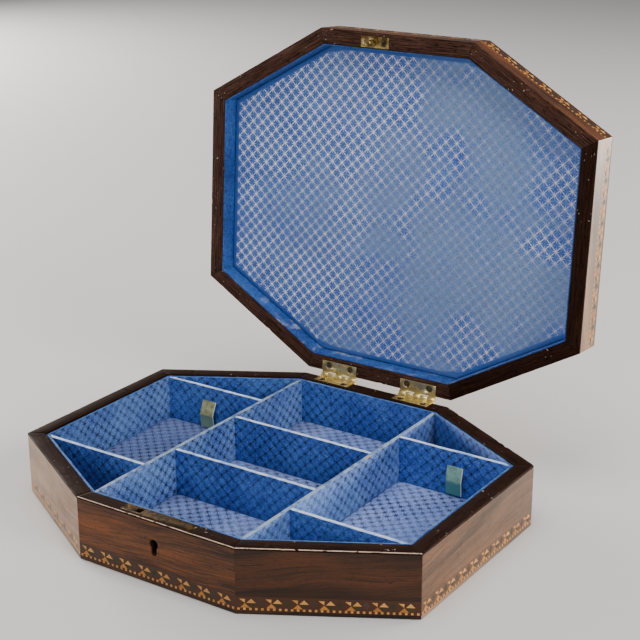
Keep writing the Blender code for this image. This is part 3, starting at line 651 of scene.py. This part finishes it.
def add_prism(bm, outline, low, high, mapper=None, material=0):
    """A closed prism. mapper turns a flat (a, b, level) into a point, by default Z is up."""
    mapper = mapper or (lambda a, b, level: (a, b, level))
    rings = [[bm.verts.new(mapper(p[0], p[1], z)) for p in outline] for z in (low, high)]
    faces = [bm.faces.new(rings[0][::-1]), bm.faces.new(rings[1])]
    for i in range(len(outline)):
        j = (i + 1) % len(outline)
        faces.append(bm.faces.new((rings[0][i], rings[0][j], rings[1][j], rings[1][i])))
    for face in faces:
        face.material_index = material
    return faces


def loft(bm, profile, closed=True, shift=0.0, leaves=None):
    """Carry a profile of (inset, level) points round the eight sides, whose corners are softened.

    An open profile gets flat faces over its two ends. leaves gives some sides another material.
    """
    layer = bm.loops.layers.uv["grain"]
    loops, reach = [], [0.0]
    for k, (inset, level) in enumerate(profile):
        points = round_corners(octagon(inset), max(CORNER_R - inset, SHARPEST_R))
        loops.append([bm.verts.new((p.x, p.y, level)) for p in points])
        after = profile[(k + 1) % len(profile)]
        reach.append(reach[-1] + math.hypot(after[0] - inset, after[1] - level))
    frames = side_frames()
    count = len(loops[0])
    faces = []
    for r in range(len(loops) if closed else len(loops) - 1):
        loop, following = loops[r], loops[(r + 1) % len(loops)]
        for i in range(count):
            j = (i + 1) % count
            face = bm.faces.new((loop[i], loop[j], following[j], following[i]))
            corner, part = divmod(i, CORNER_PARTS + 1)
            side = corner if part >= CORNER_PARTS / 2 else (corner - 1) % COUNT
            start, _, along, _ = frames[side]
            for item, height in zip(face.loops, (reach[r], reach[r], reach[r + 1], reach[r + 1])):
                place = (item.vert.co.xy - start).dot(along)
                moves = [side * move + shift for move in GRAIN_STEP]
                item[layer].uv = (place + moves[0], height + moves[1])
            face.material_index = (leaves or {}).get(side, 0)
            faces.append(face)
    if not closed:
        ends = [bm.faces.new(loops[0]), bm.faces.new(loops[-1])]
        bm.normal_update()
        map_faces(bm, ends)
        faces += ends
    bmesh.ops.recalc_face_normals(bm, faces=faces)
    return faces


def slice_mesh(bm, origin, along, places):
    """Cut every face across, at distances from the origin."""
    for place in places:
        geometry = bm.verts[:] + bm.edges[:] + bm.faces[:]
        bmesh.ops.bisect_plane(bm, geom=geometry, plane_co=origin + along * place, plane_no=along)


def absorb(bm, strip):
    """Move a finished strip into a larger mesh."""
    spare = bpy.data.meshes.new("strip")
    strip.to_mesh(spare)
    strip.free()
    bm.from_mesh(spare)
    bpy.data.meshes.remove(spare)


def block_profile(outer, inner, low, high):
    return [(outer, low), (outer, high), (inner, high), (inner, low)]


def bevel(bm, edges, width, segments=2):
    bmesh.ops.bevel(
        bm, geom=list(edges), offset=width, segments=segments, profile=0.5, affect="EDGES"
    )


def make(name, bm, materials, body, replaces=(), smooth=35, lid=False):
    """Turn the mesh into a piece that rides on a body. lid pieces are turned open first."""
    if lid:
        bm.transform(LID_OPEN)
    bm.normal_update()
    mesh = bpy.data.meshes.new(name)
    bm.to_mesh(mesh)
    bm.free()
    mesh.shade_smooth()
    mesh.set_sharp_from_angle(angle=math.radians(smooth))
    for key in materials:
        mesh.materials.append(MATERIALS[key])
    piece = bpy.data.objects.new(name, mesh)
    bpy.context.scene.collection.objects.link(piece)
    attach(piece, body)
    if replaces:
        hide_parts(*replaces)
    return piece


def carve(piece, outlines, mapper=None):
    """Cut prisms out of a piece for good. outlines are (outline, low, high)."""
    bm = start_mesh()
    for outline, low, high in outlines:
        add_prism(bm, outline, low, high, mapper)
    bmesh.ops.recalc_face_normals(bm, faces=bm.faces)
    tool_mesh = bpy.data.meshes.new("tool")
    bm.to_mesh(tool_mesh)
    bm.free()
    tool = bpy.data.objects.new("tool", tool_mesh)
    bpy.context.scene.collection.objects.link(tool)
    tool.matrix_world = LID_OPEN if piece["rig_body"] == "lid" else Matrix.Identity(4)
    modifier = piece.modifiers.new("cut", "BOOLEAN")
    modifier.object = tool
    modifier.operation = "DIFFERENCE"
    bpy.context.view_layer.update()
    graph = bpy.context.evaluated_depsgraph_get()
    cut = bpy.data.meshes.new_from_object(piece.evaluated_get(graph))
    piece.modifiers.clear()
    piece.data = cut
    bpy.data.objects.remove(tool)


def box_outline(x0, x1, y0, y1):
    return [Vector(p) for p in ((x0, y0), (x1, y0), (x1, y1), (x0, y1))]


def refine(node, material, body, width=0.12 * MM):
    """A CAD metal piece with its edges eased."""
    bm = start_mesh()
    bm.from_mesh(frame["nodes"][node].data)
    bmesh.ops.remove_doubles(bm, verts=bm.verts, dist=0.001 * MM)
    limit = math.radians(1)
    bmesh.ops.dissolve_limit(bm, angle_limit=limit, verts=bm.verts, edges=bm.edges)
    sharp = [
        e
        for e in bm.edges
        if len(e.link_faces) == 2 and e.calc_face_angle(0) > math.radians(50)
    ]
    bevel(bm, sharp, width)
    return make(node + "_eased", bm, [material], body, (node,))


# ---------------------------------------------------------------- case and lid wood


# The sides whose veneer isn't the common leaf, by their place in VENEER_LEAVES. The diagonal to
# the front's right is darker. The right end and the diagonal to the front's left are lighter,
# a painted sheen, on the case, the lid and the foot strip. The foot strip is dark on all the
# other sides.
VENEER_LEAVES = ("veneer", "veneer_dark", "soft_sheen_veneer", "painted_sheen_veneer")
CASE_LEAVES = {1: 1, 2: 2, 7: 3}
LID_LEAVES = {2: 3, 7: 3}
FOOT_LEAVES = {**dict.fromkeys(range(COUNT), 1), 2: 3, 7: 3}
# The front and the diagonal to its right, where a painted highlight runs along the rim's outer edge.
PAINTED_HIGHLIGHT_SIDES = (0, 1)
# The right end of the lid and the diagonal behind it, whose rim is near black.
DARK_LID_RIM_SIDES = (2, 3)


def veneer_ring(name, body, node, low, high, lid=False):
    bm = start_mesh()
    profile = block_profile(0, VENEER, low, high)
    loft(bm, profile, shift=0.53 if lid else 0.0, leaves=LID_LEAVES if lid else CASE_LEAVES)
    return make(name, bm, VENEER_LEAVES, body, (node,), lid=lid)


def chipped(co, outer_distance, edge_distance):
    """How far a point near a rim's outer edge is worn away."""
    if max(outer_distance, edge_distance) > CHIP_REACH:
        return 0.0
    rough = noise.noise(co * 420.0) + 0.6 * noise.noise(co * 1300.0)
    return max(0.0, rough - 0.42) * CHIP_DEPTH


def rim_boards(name, body, node, inner, low, high, lid=False):
    """Eight mitred strips with eased, chipped edges."""
    bm = start_mesh()
    visible_z = low if lid else high
    outlines = side_strips(0, inner)
    for i, (start, length, along, out) in enumerate(side_frames()):
        nudges = [along * SEAM * way for way in (1, -1, -1, 1)]
        strip = start_mesh()
        add_prism(strip, [p + nudge for p, nudge in zip(outlines[i], nudges)], low, high)
        seen = [e for e in strip.edges if all(abs(v.co.z - visible_z) < 0.01 * MM for v in e.verts)]
        bevel(strip, seen, EDGE, 3)
        along3 = along.to_3d()
        cuts = range(1, int(length / CHIP_STEP))
        slice_mesh(strip, start.to_3d(), along3, [k * CHIP_STEP for k in cuts])
        for vert in strip.verts:
            depth = (start - vert.co.xy).dot(out)
            wear = chipped(vert.co, depth, abs(vert.co.z - visible_z))
            if wear and abs(vert.co.z - visible_z) < 0.6 * MM:
                vert.co -= out.to_3d() * wear * 0.6
                vert.co.z += (wear if lid else -wear) * 0.5
        strip.normal_update()
        map_faces(strip, strip.faces, along3, [i * move for move in GRAIN_STEP])
        for face in strip.faces:
            outer_edge = face.normal.dot((*out, 0)) > 0.25 and face.normal.z > 0.25
            # On the case's front sides the rounded outer edge gets the painted highlight.
            bright = i in PAINTED_HIGHLIGHT_SIDES and outer_edge
            face.material_index = int(i in DARK_LID_RIM_SIDES if lid else bright)
        absorb(bm, strip)
    looks = ["lid_rim", "rim"] if lid else ["rim", "rim_painted_highlight"]
    return make(name, bm, looks, body, (node,), lid=lid)


# One repeat of the banding, in millimetres along and up from the band's lower edge.
TRIANGLES = (
    ("gold", ((-2.45, 1.6), (2.45, 1.6), (0.0, 4.1))),
    ("light", ((0.85, 4.3), (5.5, 4.3), (3.2, 6.7))),
    ("light", ((-2.9, 6.6), (0.1, 6.5), (-0.1, 4.4))),
    ("green", ((0.9, 4.05), (5.5, 4.05), (3.2, 1.9))),
    ("grey", ((5.9, 4.6), (7.9, 2.3), (9.6, 4.6), (7.9, 6.9))),
)
SQUARE_HALF = 0.62
SQUARE_UP = 0.85
# On the lid's top: half a border tile's length against the border's width, the lozenge's size
# inside its light line, how much of its place each rhomb fills, and a rhomb's side.
BORDER_TILE_SHAPE = 0.62
LOZENGE_INSIDE = 0.94
RHOMB_FILL = 0.965
RHOMB_SIDE = 3.4 * MM
BAND_MATERIALS = ("ground", "gold", "light", "green", "grey", "soft_sheen_ground", "painted_sheen_ground")
# The mosaic ground is lighter, a painted sheen, on the right end and the diagonal to the front's left.
CASE_GROUNDS = {2: 5, 7: 6}
LID_GROUNDS = {2: 6, 7: 6}


def make_mosaic(name, bm, body, node, lid):
    bmesh.ops.recalc_face_normals(bm, faces=bm.faces)
    map_faces(bm, bm.faces)
    return make(name, bm, BAND_MATERIALS, body, (node,), lid=lid)


def band(name, body, node, low, high, lid=False):
    """The mosaic banding on all eight sides, the same way up on the case and on the lid."""
    bm = start_mesh()
    loft(bm, block_profile(SEAM, VENEER, low, high), leaves=LID_GROUNDS if lid else CASE_GROUNDS)
    for start, length, along, out in side_frames():

        def on_side(a, b, level, start=start, along=along, out=out):
            place = start + along * a - out * level
            return (place.x, place.y, low + b)

        repeats = round(length / MOTIF)
        period = length / repeats
        for k in range(repeats):
            centre = (k + 0.36) * period
            for key, points in TRIANGLES:
                outline = [(centre + a * MM, b * MM) for a, b in points]
                if outline[0][0] < CORNER_R or max(p[0] for p in outline) > length - CORNER_R:
                    continue
                if key == "grey" and k % 2:
                    key = "green"
                add_prism(bm, outline, INLAY, 0, on_side, BAND_MATERIALS.index(key))
        squares = round(length / SQUARE_PITCH)
        for k in range(squares):
            centre = (k + 0.5) * length / squares
            half, up = SQUARE_HALF * MM, SQUARE_UP * MM
            outline = box_outline(centre - half, centre + half, up - half, up + half)
            add_prism(bm, outline, INLAY, 0, on_side, BAND_MATERIALS.index("light"))
    make_mosaic(name, bm, body, node, lid)


def keyhole_outline():
    """The keyhole's outline, read from the veneer's cut edge on the front face."""
    low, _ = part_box("base_veneer")
    near = 0.02 * MM
    points = {
        (round(p.x, 6), round(p.z, 6))
        for p in node_points("base_veneer")
        if abs(p.y - low.y) < near and abs(p.x) < KEYHOLE_REACH
    }
    centre = (0.0, sum(p[1] for p in points) / len(points))
    ordered = sorted(points, key=lambda p: math.atan2(p[1] - centre[1], p[0] - centre[0]))
    return [Vector(p) for p in ordered]


def recess_outlines(*nodes):
    """Boxes, a little larger than metal pieces and open at the back, to let them into a rim."""
    outlines = []
    for node in nodes:
        low, high = shut_box(node)
        sides = low.x - RECESS_PLAY, high.x + RECESS_PLAY, low.y - RECESS_PLAY, high.y + 1 * MM
        outlines.append((box_outline(*sides), low.z - 2 * MM, high.z + 2 * MM))
    return outlines


def arc_steps(parts):
    """Angles from a quarter turn down to nothing."""
    return [math.pi / 2 * (1 - k / parts) for k in range(parts + 1)]


def build_case():
    low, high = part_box("base_veneer")
    rim_low, rim_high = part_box("base_rim_facing")
    inner = ring_depth("base_rim_facing")
    band_low, band_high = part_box("base_mosaic_band")
    side = veneer_ring("case_veneer", "base", "base_veneer", band_high.z + SEAM, rim_low.z - SEAM)
    keyhole = keyhole_outline()
    carve(
        side,
        [(keyhole, low.y - 1 * MM, low.y + 2 * MM)],
        lambda a, b, level: (a, level, b),
    )
    rim = rim_boards("case_rim", "base", "base_rim_facing", inner, rim_low.z, rim_high.z)
    carve(rim, recess_outlines("lock_plate", "hinge_left_base_leaf", "hinge_right_base_leaf"))
    band("case_banding", "base", "base_mosaic_band", band_low.z, band_high.z)
    foot_low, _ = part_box("base_foot_strip")
    bm = start_mesh()
    low, high = foot_low.z, band_low.z - SEAM
    eased = [(EDGE * (1 - math.cos(t)), low + EDGE * (1 - math.sin(t))) for t in arc_steps(3)]
    loft(bm, [*eased, (0, high), (VENEER, high), (VENEER, low)], shift=0.29, leaves=FOOT_LEAVES)
    make("case_foot", bm, VENEER_LEAVES, "base", ("base_foot_strip",))


def build_lid():
    rim_low, rim_high = shut_box("lid_rim_facing")
    band_low, band_high = shut_box("lid_mosaic_band")
    top_low, top_high = shut_box("lid_top_veneer")
    inner = ring_depth("lid_rim_facing")
    veneer_ring(
        "lid_veneer", "lid", "lid_side_veneer", rim_high.z + SEAM, band_low.z - SEAM, lid=True
    )
    band("lid_banding", "lid", "lid_mosaic_band", band_low.z, band_high.z, lid=True)
    rim = rim_boards("lid_rim", "lid", "lid_rim_facing", inner, rim_low.z, rim_high.z, lid=True)
    carve(rim, recess_outlines("strike_plate", "hinge_left_lid_leaf", "hinge_right_lid_leaf"))
    build_lid_top(top_low.z, top_high.z)
    build_lid_lining()


def build_lid_top(low, high):
    """The veneered top, its rounded edge, and the mosaic border and lozenge let into it."""
    bm = start_mesh()
    rounded = [
        (TOP_ROUND * (1 - math.cos(t)), high - TOP_ROUND * (1 - math.sin(t))) for t in arc_steps(7)
    ]
    loft(bm, [(0, low), *rounded[::-1]], closed=False, shift=0.71)
    top = make("lid_top", bm, ["top"], "lid", ("lid_top_veneer",), lid=True)

    _, border_high = shut_box("lid_inlay_border")
    border = HALF_WIDTH - border_high.x
    wide = ring_depth("lid_inlay_border")
    for strip in side_strips(border - SEAM, border + wide + SEAM):
        carve(top, [(strip, high - VENEER, high + MM)])
    _, centre_high = shut_box("lid_inlay_centre")
    half_x, half_y = centre_high.x, centre_high.y
    grow = 1 + SEAM / half_y
    lozenge = [Vector(p) for p in ((half_x, 0), (0, half_y), (-half_x, 0), (0, -half_y))]
    carve(top, [([p * grow for p in lozenge], high - VENEER, high + MM)])

    build_border(border, wide, high)
    build_lozenge(lozenge, high)


def build_border(inset, wide, high):
    """A run of alternating triangles between two plain lines."""
    bm = start_mesh()
    line = 0.7 * MM
    for ground in side_strips(inset, inset + wide):
        add_prism(bm, ground, high - VENEER, high - SEAM, material=0)
        outer_start, outer_end, inner_end, inner_start = ground
        along = (outer_end - outer_start).normalized()
        inward = Vector((-along.y, along.x))
        length = (inner_end - inner_start).length
        tiles = round(length / (2 * wide * BORDER_TILE_SHAPE))
        pitch = length / tiles
        base = inner_start - inward * wide
        for k in range(tiles):
            a0 = base + along * k * pitch
            foot, tip = inward * line, inward * (wide - line)
            gap = along * 0.06 * MM
            up = [a0 + foot + gap, a0 + along * pitch + foot - gap, a0 + along * pitch / 2 + tip]
            mid = a0 + along * pitch / 2
            down = [mid + tip + along * 0.1 * MM, mid + along * (pitch / 2 - 0.1 * MM) + foot]
            down += [mid + along * pitch + tip - along * 0.1 * MM]
            add_prism(bm, up, high - INLAY, high, material=2 if k % 2 else 1)
            if k < tiles - 1:
                add_prism(bm, down[::-1], high - INLAY, high, material=4 if k % 2 else 3)
    make_mosaic("lid_border", bm, "lid", "lid_inlay_border", lid=True)


def build_lozenge(lozenge, high):
    """Tumbling blocks: rhombs in three tones that fill the central lozenge."""
    bm = start_mesh()
    add_prism(bm, lozenge, high - VENEER, high - SEAM, material=0)
    half_x, half_y = lozenge[0].x, lozenge[1].y
    for corner, after in zip(lozenge, lozenge[1:] + lozenge[:1]):
        strip = [corner, after, after * LOZENGE_INSIDE, corner * LOZENGE_INSIDE]
        add_prism(bm, strip, high - INLAY, high, material=2)
    side = RHOMB_SIDE
    angles = (math.radians(30), math.radians(90), math.radians(150))
    unit = [Vector((math.cos(angle), math.sin(angle))) * side for angle in angles]
    rhombs = (
        (1, (unit[0], unit[0] + unit[2], unit[2])),
        (2, (unit[2], unit[2] - unit[1], -unit[1])),
        (3, (-unit[1], unit[0] - unit[1], unit[0])),
    )
    columns, rows = int(half_x / side) + 2, int(half_y / side) + 2
    across = math.sqrt(3) * side
    for row in range(-rows, rows + 1):
        for column in range(-columns, columns + 1):
            centre = Vector(((column + 0.5 * (row % 2)) * across, row * 1.5 * side))
            for material, points in rhombs:
                outline = [centre] + [centre + p for p in points]
                middle = sum(outline, Vector((0, 0))) / 4
                outline = [middle + (p - middle) * RHOMB_FILL for p in outline]
                reach = max(abs(p.x) / half_x + abs(p.y) / half_y for p in outline)
                if reach < LOZENGE_INSIDE - 0.01:
                    add_prism(bm, outline, high - INLAY, high, material=material)
    make_mosaic("lid_lozenge", bm, "lid", "lid_inlay_centre", lid=True)


# ---------------------------------------------------------------- paper


def ripple(co, amount=PAPER_WAVE):
    """The slight waviness of pasted paper."""
    return amount * (noise.noise(co * 38.0) + 0.5 * noise.noise(co * 110.0))


def build_lid_lining():
    """Plain paper on the lid's sides, and its printed panel with a rolled edge."""
    side_low, _ = shut_box("lid_side_lining")
    panel_low, panel_high = shut_box("lid_lining_panel")
    inset = HALF_WIDTH - panel_high.x
    bm = start_mesh()
    loft(bm, block_profile(inset, inset + 0.5 * MM, side_low.z, panel_low.z + 1 * MM))
    make("lid_side_paper", bm, ["side_paper"], "lid", ("lid_side_lining",), lid=True)

    bm = start_mesh()
    border = bm.loops.layers.uv.new("border")
    edge, roll, rise = inset + 0.55 * MM, 2.0 * MM, 1.1 * MM
    rolled = [
        (edge + roll * (1 - math.cos(t)), panel_low.z + rise * (1 - math.sin(t)))
        for t in arc_steps(5)[::-1]
    ]
    loft(bm, [(edge, panel_high.z), *rolled], closed=False)
    cells = 20
    places = [cad_low.x + (cad_high.x - cad_low.x) * k / cells for k in range(1, cells)]
    for axis in (Vector((1, 0, 0)), Vector((0, 1, 0))):
        slice_mesh(bm, Vector(), axis, places)
    lines = side_lines(inset)
    for vert in bm.verts:
        if vert.co.z < panel_low.z + 0.01 * MM:
            vert.co.z += abs(ripple(vert.co, 0.3 * MM))
    bm.normal_update()
    map_faces(bm, [f for f in bm.faces if abs(f.normal.z) > 0.7])
    for face in bm.faces:
        for loop in face.loops:
            distance = min(normal.dot(loop.vert.co.xy) - c for normal, c in lines)
            loop[border].uv = (distance, 0.0)
    make("lid_panel_paper", bm, ["lid_paper"], "lid", ("lid_lining_panel",), lid=True)


def paper_board(bm, outline, low, high, along):
    """A papered board with a rounded, worn top edge and slightly wavy faces.

    Its looks are the paper, whose dark tone is partly painted shade, the top edge's, and a lighter copy of
    the paper, painted light, for a face turned to the right.
    """
    strip = start_mesh()
    add_prism(strip, outline, low, high)
    top = [e for e in strip.edges if all(abs(v.co.z - high) < 0.01 * MM for v in e.verts)]
    bevel(strip, top, 0.5 * MM, 3)
    ends = [v.co.dot(along) for v in strip.verts]
    first, last = min(ends), max(ends)
    cuts = range(1, int((last - first) / PAPER_STEP))
    slice_mesh(strip, Vector(), along, [first + k * PAPER_STEP for k in cuts])
    across = Vector((-along.y, along.x, 0))
    for vert in strip.verts:
        vert.co += across * ripple(vert.co)
        if vert.co.z > high - 1 * MM:
            vert.co.z -= abs(ripple(vert.co * 1.7, 0.25 * MM))
    strip.normal_update()
    map_faces(strip, strip.faces)
    for face in strip.faces:
        # A face turned to the right takes the lighter paper, painted light.
        face.material_index = 1 if face.normal.z > 0.5 else 2 * int(face.normal.x > 0.9)
    absorb(bm, strip)


def clip(points, inward, offset):
    """The part of an outline on the inner side of a line."""
    kept = []
    for a, b in zip(points, points[1:] + points[:1]):
        side_a, side_b = inward.dot(a) - offset, inward.dot(b) - offset
        if side_a >= 0:
            kept.append(a)
        if side_a * side_b < 0:
            kept.append(a.lerp(b, side_a / (side_a - side_b)))
    return kept


def compartments(inset):
    """The outlines of the tray's nine compartments, from the dividers' places."""
    boxes = {n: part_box(n) for n in frame["nodes"] if n.startswith("tray_divider")}
    gap = DIVIDER_GAP
    left, right = boxes["tray_divider_long_left"], boxes["tray_divider_long_right"]
    columns = {
        "left": (cad_low.x, left[0].x - gap),
        "centre": (left[1].x + gap, right[0].x - gap),
        "right": (right[1].x + gap, cad_high.x),
    }
    for column, (x0, x1) in columns.items():
        front, back = boxes[f"tray_divider_{column}_front"], boxes[f"tray_divider_{column}_back"]
        rows = {
            "front": (cad_low.y, front[0].y - gap),
            "middle": (front[1].y + gap, back[0].y - gap),
            "back": (back[1].y + gap, cad_high.y),
        }
        for row, (y0, y1) in rows.items():
            outline = box_outline(x0, x1, y0, y1)
            for inward, offset in side_lines(inset + gap):
                outline = clip(outline, inward, offset)
            yield f"{column}_{row}", outline


def build_tray():
    floor_low, floor_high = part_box("tray_floor")
    inset = HALF_WIDTH - floor_high.x
    thick = ring_depth("tray_walls")
    bm = start_mesh()
    loft(bm, [(inset, floor_low.z), (inset, floor_high.z)], closed=False)
    for _, outline in compartments(inset + thick):
        faces = add_prism(
            bm,
            round_corners(outline, CARD_ROUND),
            floor_high.z + SEAM,
            floor_high.z + CARD_THICK,
            material=1,
        )
        bevel(bm, faces[1].edges, 0.3 * MM, 2)
    bm.normal_update()
    map_faces(bm, bm.faces)
    looks = ["wall_paper", "floor_paper"]
    make("tray_floor_paper", bm, looks, "tray", ("tray_floor",))

    wall_low, wall_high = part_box("tray_walls")
    bm = start_mesh()
    for outline, (_, _, along, _) in zip(side_strips(inset, inset + thick), side_frames()):
        paper_board(bm, outline, wall_low.z - PAPER_SINK, wall_high.z, along.to_3d())
    looks = ["wall_paper", "wall_edge", "tray_paper_painted_light"]
    make("tray_wall_paper", bm, looks, "tray", ("tray_walls",))

    for node in sorted(n for n in frame["nodes"] if n.startswith("tray_divider")):
        low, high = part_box(node)
        points = {(round(p.x, 6), round(p.y, 6)) for p in node_points(node)}
        centre = Vector(((low.x + high.x) / 2, (low.y + high.y) / 2))
        outline = sorted(
            (Vector(p) for p in points), key=lambda p: math.atan2(p.y - centre.y, p.x - centre.x)
        )
        lies_across = high.x - low.x > high.y - low.y
        along = Vector((1, 0, 0)) if lies_across else Vector((0, 1, 0))
        for p in outline:
            p += along.xy * math.copysign(DIVIDER_GAP, (p - centre).dot(along.xy))
        bm = start_mesh()
        paper_board(bm, outline, low.z - PAPER_SINK, high.z, along)
        # Tops running across are paler, a painted highlight; tops running front to back stay bluer.
        looks = ["wall_paper", "worn_edge_painted_highlight" if lies_across else "worn_blue", "tray_paper_painted_light"]
        make(node + "_paper", bm, looks, "tray", (node,))


# The tab's line from its glued top edge: shares of its depth and of its height.
RIBBON_PROFILE = (
    (0.04, 0.0),
    (0.12, 0.05),
    (0.4, 0.2),
    (0.74, 0.37),
    (0.93, 0.47),
    (0.97, 0.51),
    (0.9, 0.56),
    (0.82, 0.68),
    (0.76, 0.84),
    (0.72, 1.0),
)


def build_ribbon(hand):
    """A silk ribbon glued by its top edge, hanging out and folded back to the divider."""
    node = f"ribbon_pull_{hand}"
    low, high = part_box(node)
    thick = 0.22 * MM
    columns = 10
    deep, tall = high.y - low.y - thick, high.z - low.z
    path = [Vector((out * deep, -down * tall)) for out, down in RIBBON_PROFILE]
    smooth = catmull(path, 4)
    bm = start_mesh()
    layer = bm.loops.layers.uv["grain"]
    grid = []
    length = 0.0
    for row, p in enumerate(smooth):
        if row:
            length += (p - smooth[row - 1]).length
        ahead = smooth[min(row + 1, len(smooth) - 1)] - smooth[max(row - 1, 0)]
        normal = Vector((-ahead.y, ahead.x)).normalized()
        line = []
        for column in range(columns + 1):
            share = column / columns
            x = low.x + (high.x - low.x) * share
            sway = 0.25 * MM * noise.noise(Vector((share * 2.2, length * 160, 3.7)))
            sway *= min(1.0, row / 6)
            pair = []
            for side in (-0.5, 0.5):
                q = p + normal * (side * thick + sway)
                y = min(high.y - q.x, high.y - 0.02 * MM)
                pair.append((bm.verts.new((x, y, high.z + q.y)), (share, length / tall)))
            line.append(pair)
        grid.append(line)

    def quad(corners):
        face = bm.faces.new([c[0] for c in corners])
        for loop, corner in zip(face.loops, corners):
            loop[layer].uv = corner[1]

    rows = len(grid)
    for r in range(rows - 1):
        for c in range(columns):
            for s in (0, 1):
                quad([grid[r][c][s], grid[r][c + 1][s], grid[r + 1][c + 1][s], grid[r + 1][c][s]])
        for c in (0, columns):
            quad([grid[r][c][0], grid[r][c][1], grid[r + 1][c][1], grid[r + 1][c][0]])
    for r in (0, rows - 1):
        for c in range(columns):
            quad([grid[r][c][0], grid[r][c + 1][0], grid[r][c + 1][1], grid[r][c][1]])
    bmesh.ops.recalc_face_normals(bm, faces=bm.faces)
    looks = [f"silk_{hand}"]
    piece = make(f"silk_tab_{hand}", bm, looks, f"ribbon_{hand}", (node,), smooth=70)
    return length


def catmull(points, parts):
    """A smooth line through points."""
    ends = [points[0] * 2 - points[1]] + list(points) + [points[-1] * 2 - points[-2]]
    line = []
    for a, b, c, d in zip(ends, ends[1:], ends[2:], ends[3:]):
        for k in range(parts):
            t = k / parts
            line.append(
                0.5 * (2 * b + (c - a) * t + (2 * a - 5 * b + 4 * c - d) * t**2
                       + (3 * b - a - 3 * c + d) * t**3)
            )
    return line + [points[-1]]


# ---------------------------------------------------------------- metal and plain wood


def build_hardware():
    for node in sorted(frame["nodes"]):
        body = "lid" if "_lid_" in node or node.startswith("strike") else "base"
        if node.startswith("hinge") and "screw" not in node:
            refine(node, "brass", body, 0.15 * MM)
        elif "screw" in node:
            refine(node, "patina" if node.startswith("lock") else "screw", body, 0.06 * MM)
        elif node == "strike_plate":
            refine(node, "brass_aged", body, 0.15 * MM)
        elif node == "lock_plate":
            refine(node, "patina", body, 0.12 * MM)
    for node, key in (
        ("lock_case", "steel"),
        ("lock_spring", "steel"),
        ("lock_drill_pin", "steel"),
        ("lock_bolt", "patina"),
    ):
        cad_finish(node, key)
    for node in frame["nodes"]:
        if node.startswith("base_wall") or node in ("base_bottom", "lid_frame", "lid_panel"):
            # The front wall, seen only through the keyhole, is darkened as painted shade.
            cad_finish(node, "carcass_keyhole_painted_shade" if node == "base_wall_front" else "carcass")


def cad_finish(node, key):
    """Give a CAD node that stays in view a finished material."""
    piece = frame["nodes"][node]
    piece.data.materials.clear()
    piece.data.materials.append(MATERIALS[key])


# ---------------------------------------------------------------- stage


def add_light(name, place, target, size, power, color):
    data = bpy.data.lights.new(name, "AREA")
    data.shape = "RECTANGLE"
    data.size, data.size_y = size
    data.energy = power
    data.color = color
    light = bpy.data.objects.new(name, data)
    light.location = place
    light.rotation_mode = "QUATERNION"
    light.rotation_quaternion = (Vector(target) - Vector(place)).to_track_quat("-Z", "Y")
    bpy.context.scene.collection.objects.link(light)


def build_stage():
    floor_bm = bmesh.new()
    bmesh.ops.create_grid(floor_bm, x_segments=1, y_segments=1, size=6.0)
    mesh = bpy.data.meshes.new("floor")
    floor_bm.to_mesh(mesh)
    floor_bm.free()
    floor = bpy.data.objects.new("floor", mesh)
    floor.location.z = cad_low.z
    bpy.context.scene.collection.objects.link(floor)
    graph = Graph("floor_pale", Roughness=0.7)
    graph.put(graph.shader, "Base Color", (0.72, 0.71, 0.7, 1.0))
    mesh.materials.append(graph.material)

    world = bpy.data.worlds.new("studio")
    world.use_nodes = True
    background = world.node_tree.nodes["Background"]
    background.inputs["Color"].default_value = (0.9, 0.93, 1.0, 1.0)
    background.inputs["Strength"].default_value = 0.2
    bpy.context.scene.world = world
    add_light("left", (-1.95, 0.4, 0.3), (0, 0, 0.05), (1.3, 0.5), 88, (1.0, 0.95, 0.89))
    add_light("right", (1.0, 1.5, 0.24), (0, 0, 0.1), (0.9, 0.44), 48, (1.0, 0.95, 0.89))
    add_light("end", (1.4, -0.2, 0.8), (0, 0, 0.03), (0.7, 0.7), 15, (1.0, 0.99, 0.97))
    add_light("above", (0.0, -0.2, 1.5), (0, 0, 0.05), (0.9, 0.9), 12, (1.0, 0.99, 0.97))
    add_light("front", (0.3, -1.7, 0.6), (0, 0, 0.1), (1.0, 0.5), 7, (1.0, 0.98, 0.96))


def build_camera():
    data = bpy.data.cameras.new("camera")
    data.lens = CAMERA_LENS
    data.sensor_width = 36.0
    data.shift_x, data.shift_y = CAMERA_SHIFT
    camera = bpy.data.objects.new("camera", data)
    camera.location = CAMERA_AT
    camera.rotation_mode = "QUATERNION"
    camera.rotation_quaternion = Vector(CAMERA_LOOKS).to_track_quat("-Z", "Y")
    bpy.context.scene.collection.objects.link(camera)
    bpy.context.scene.camera = camera


build_case()
build_lid()
build_tray()
for side_name in ("left", "right"):
    build_ribbon(side_name)
build_hardware()
build_stage()
build_camera()
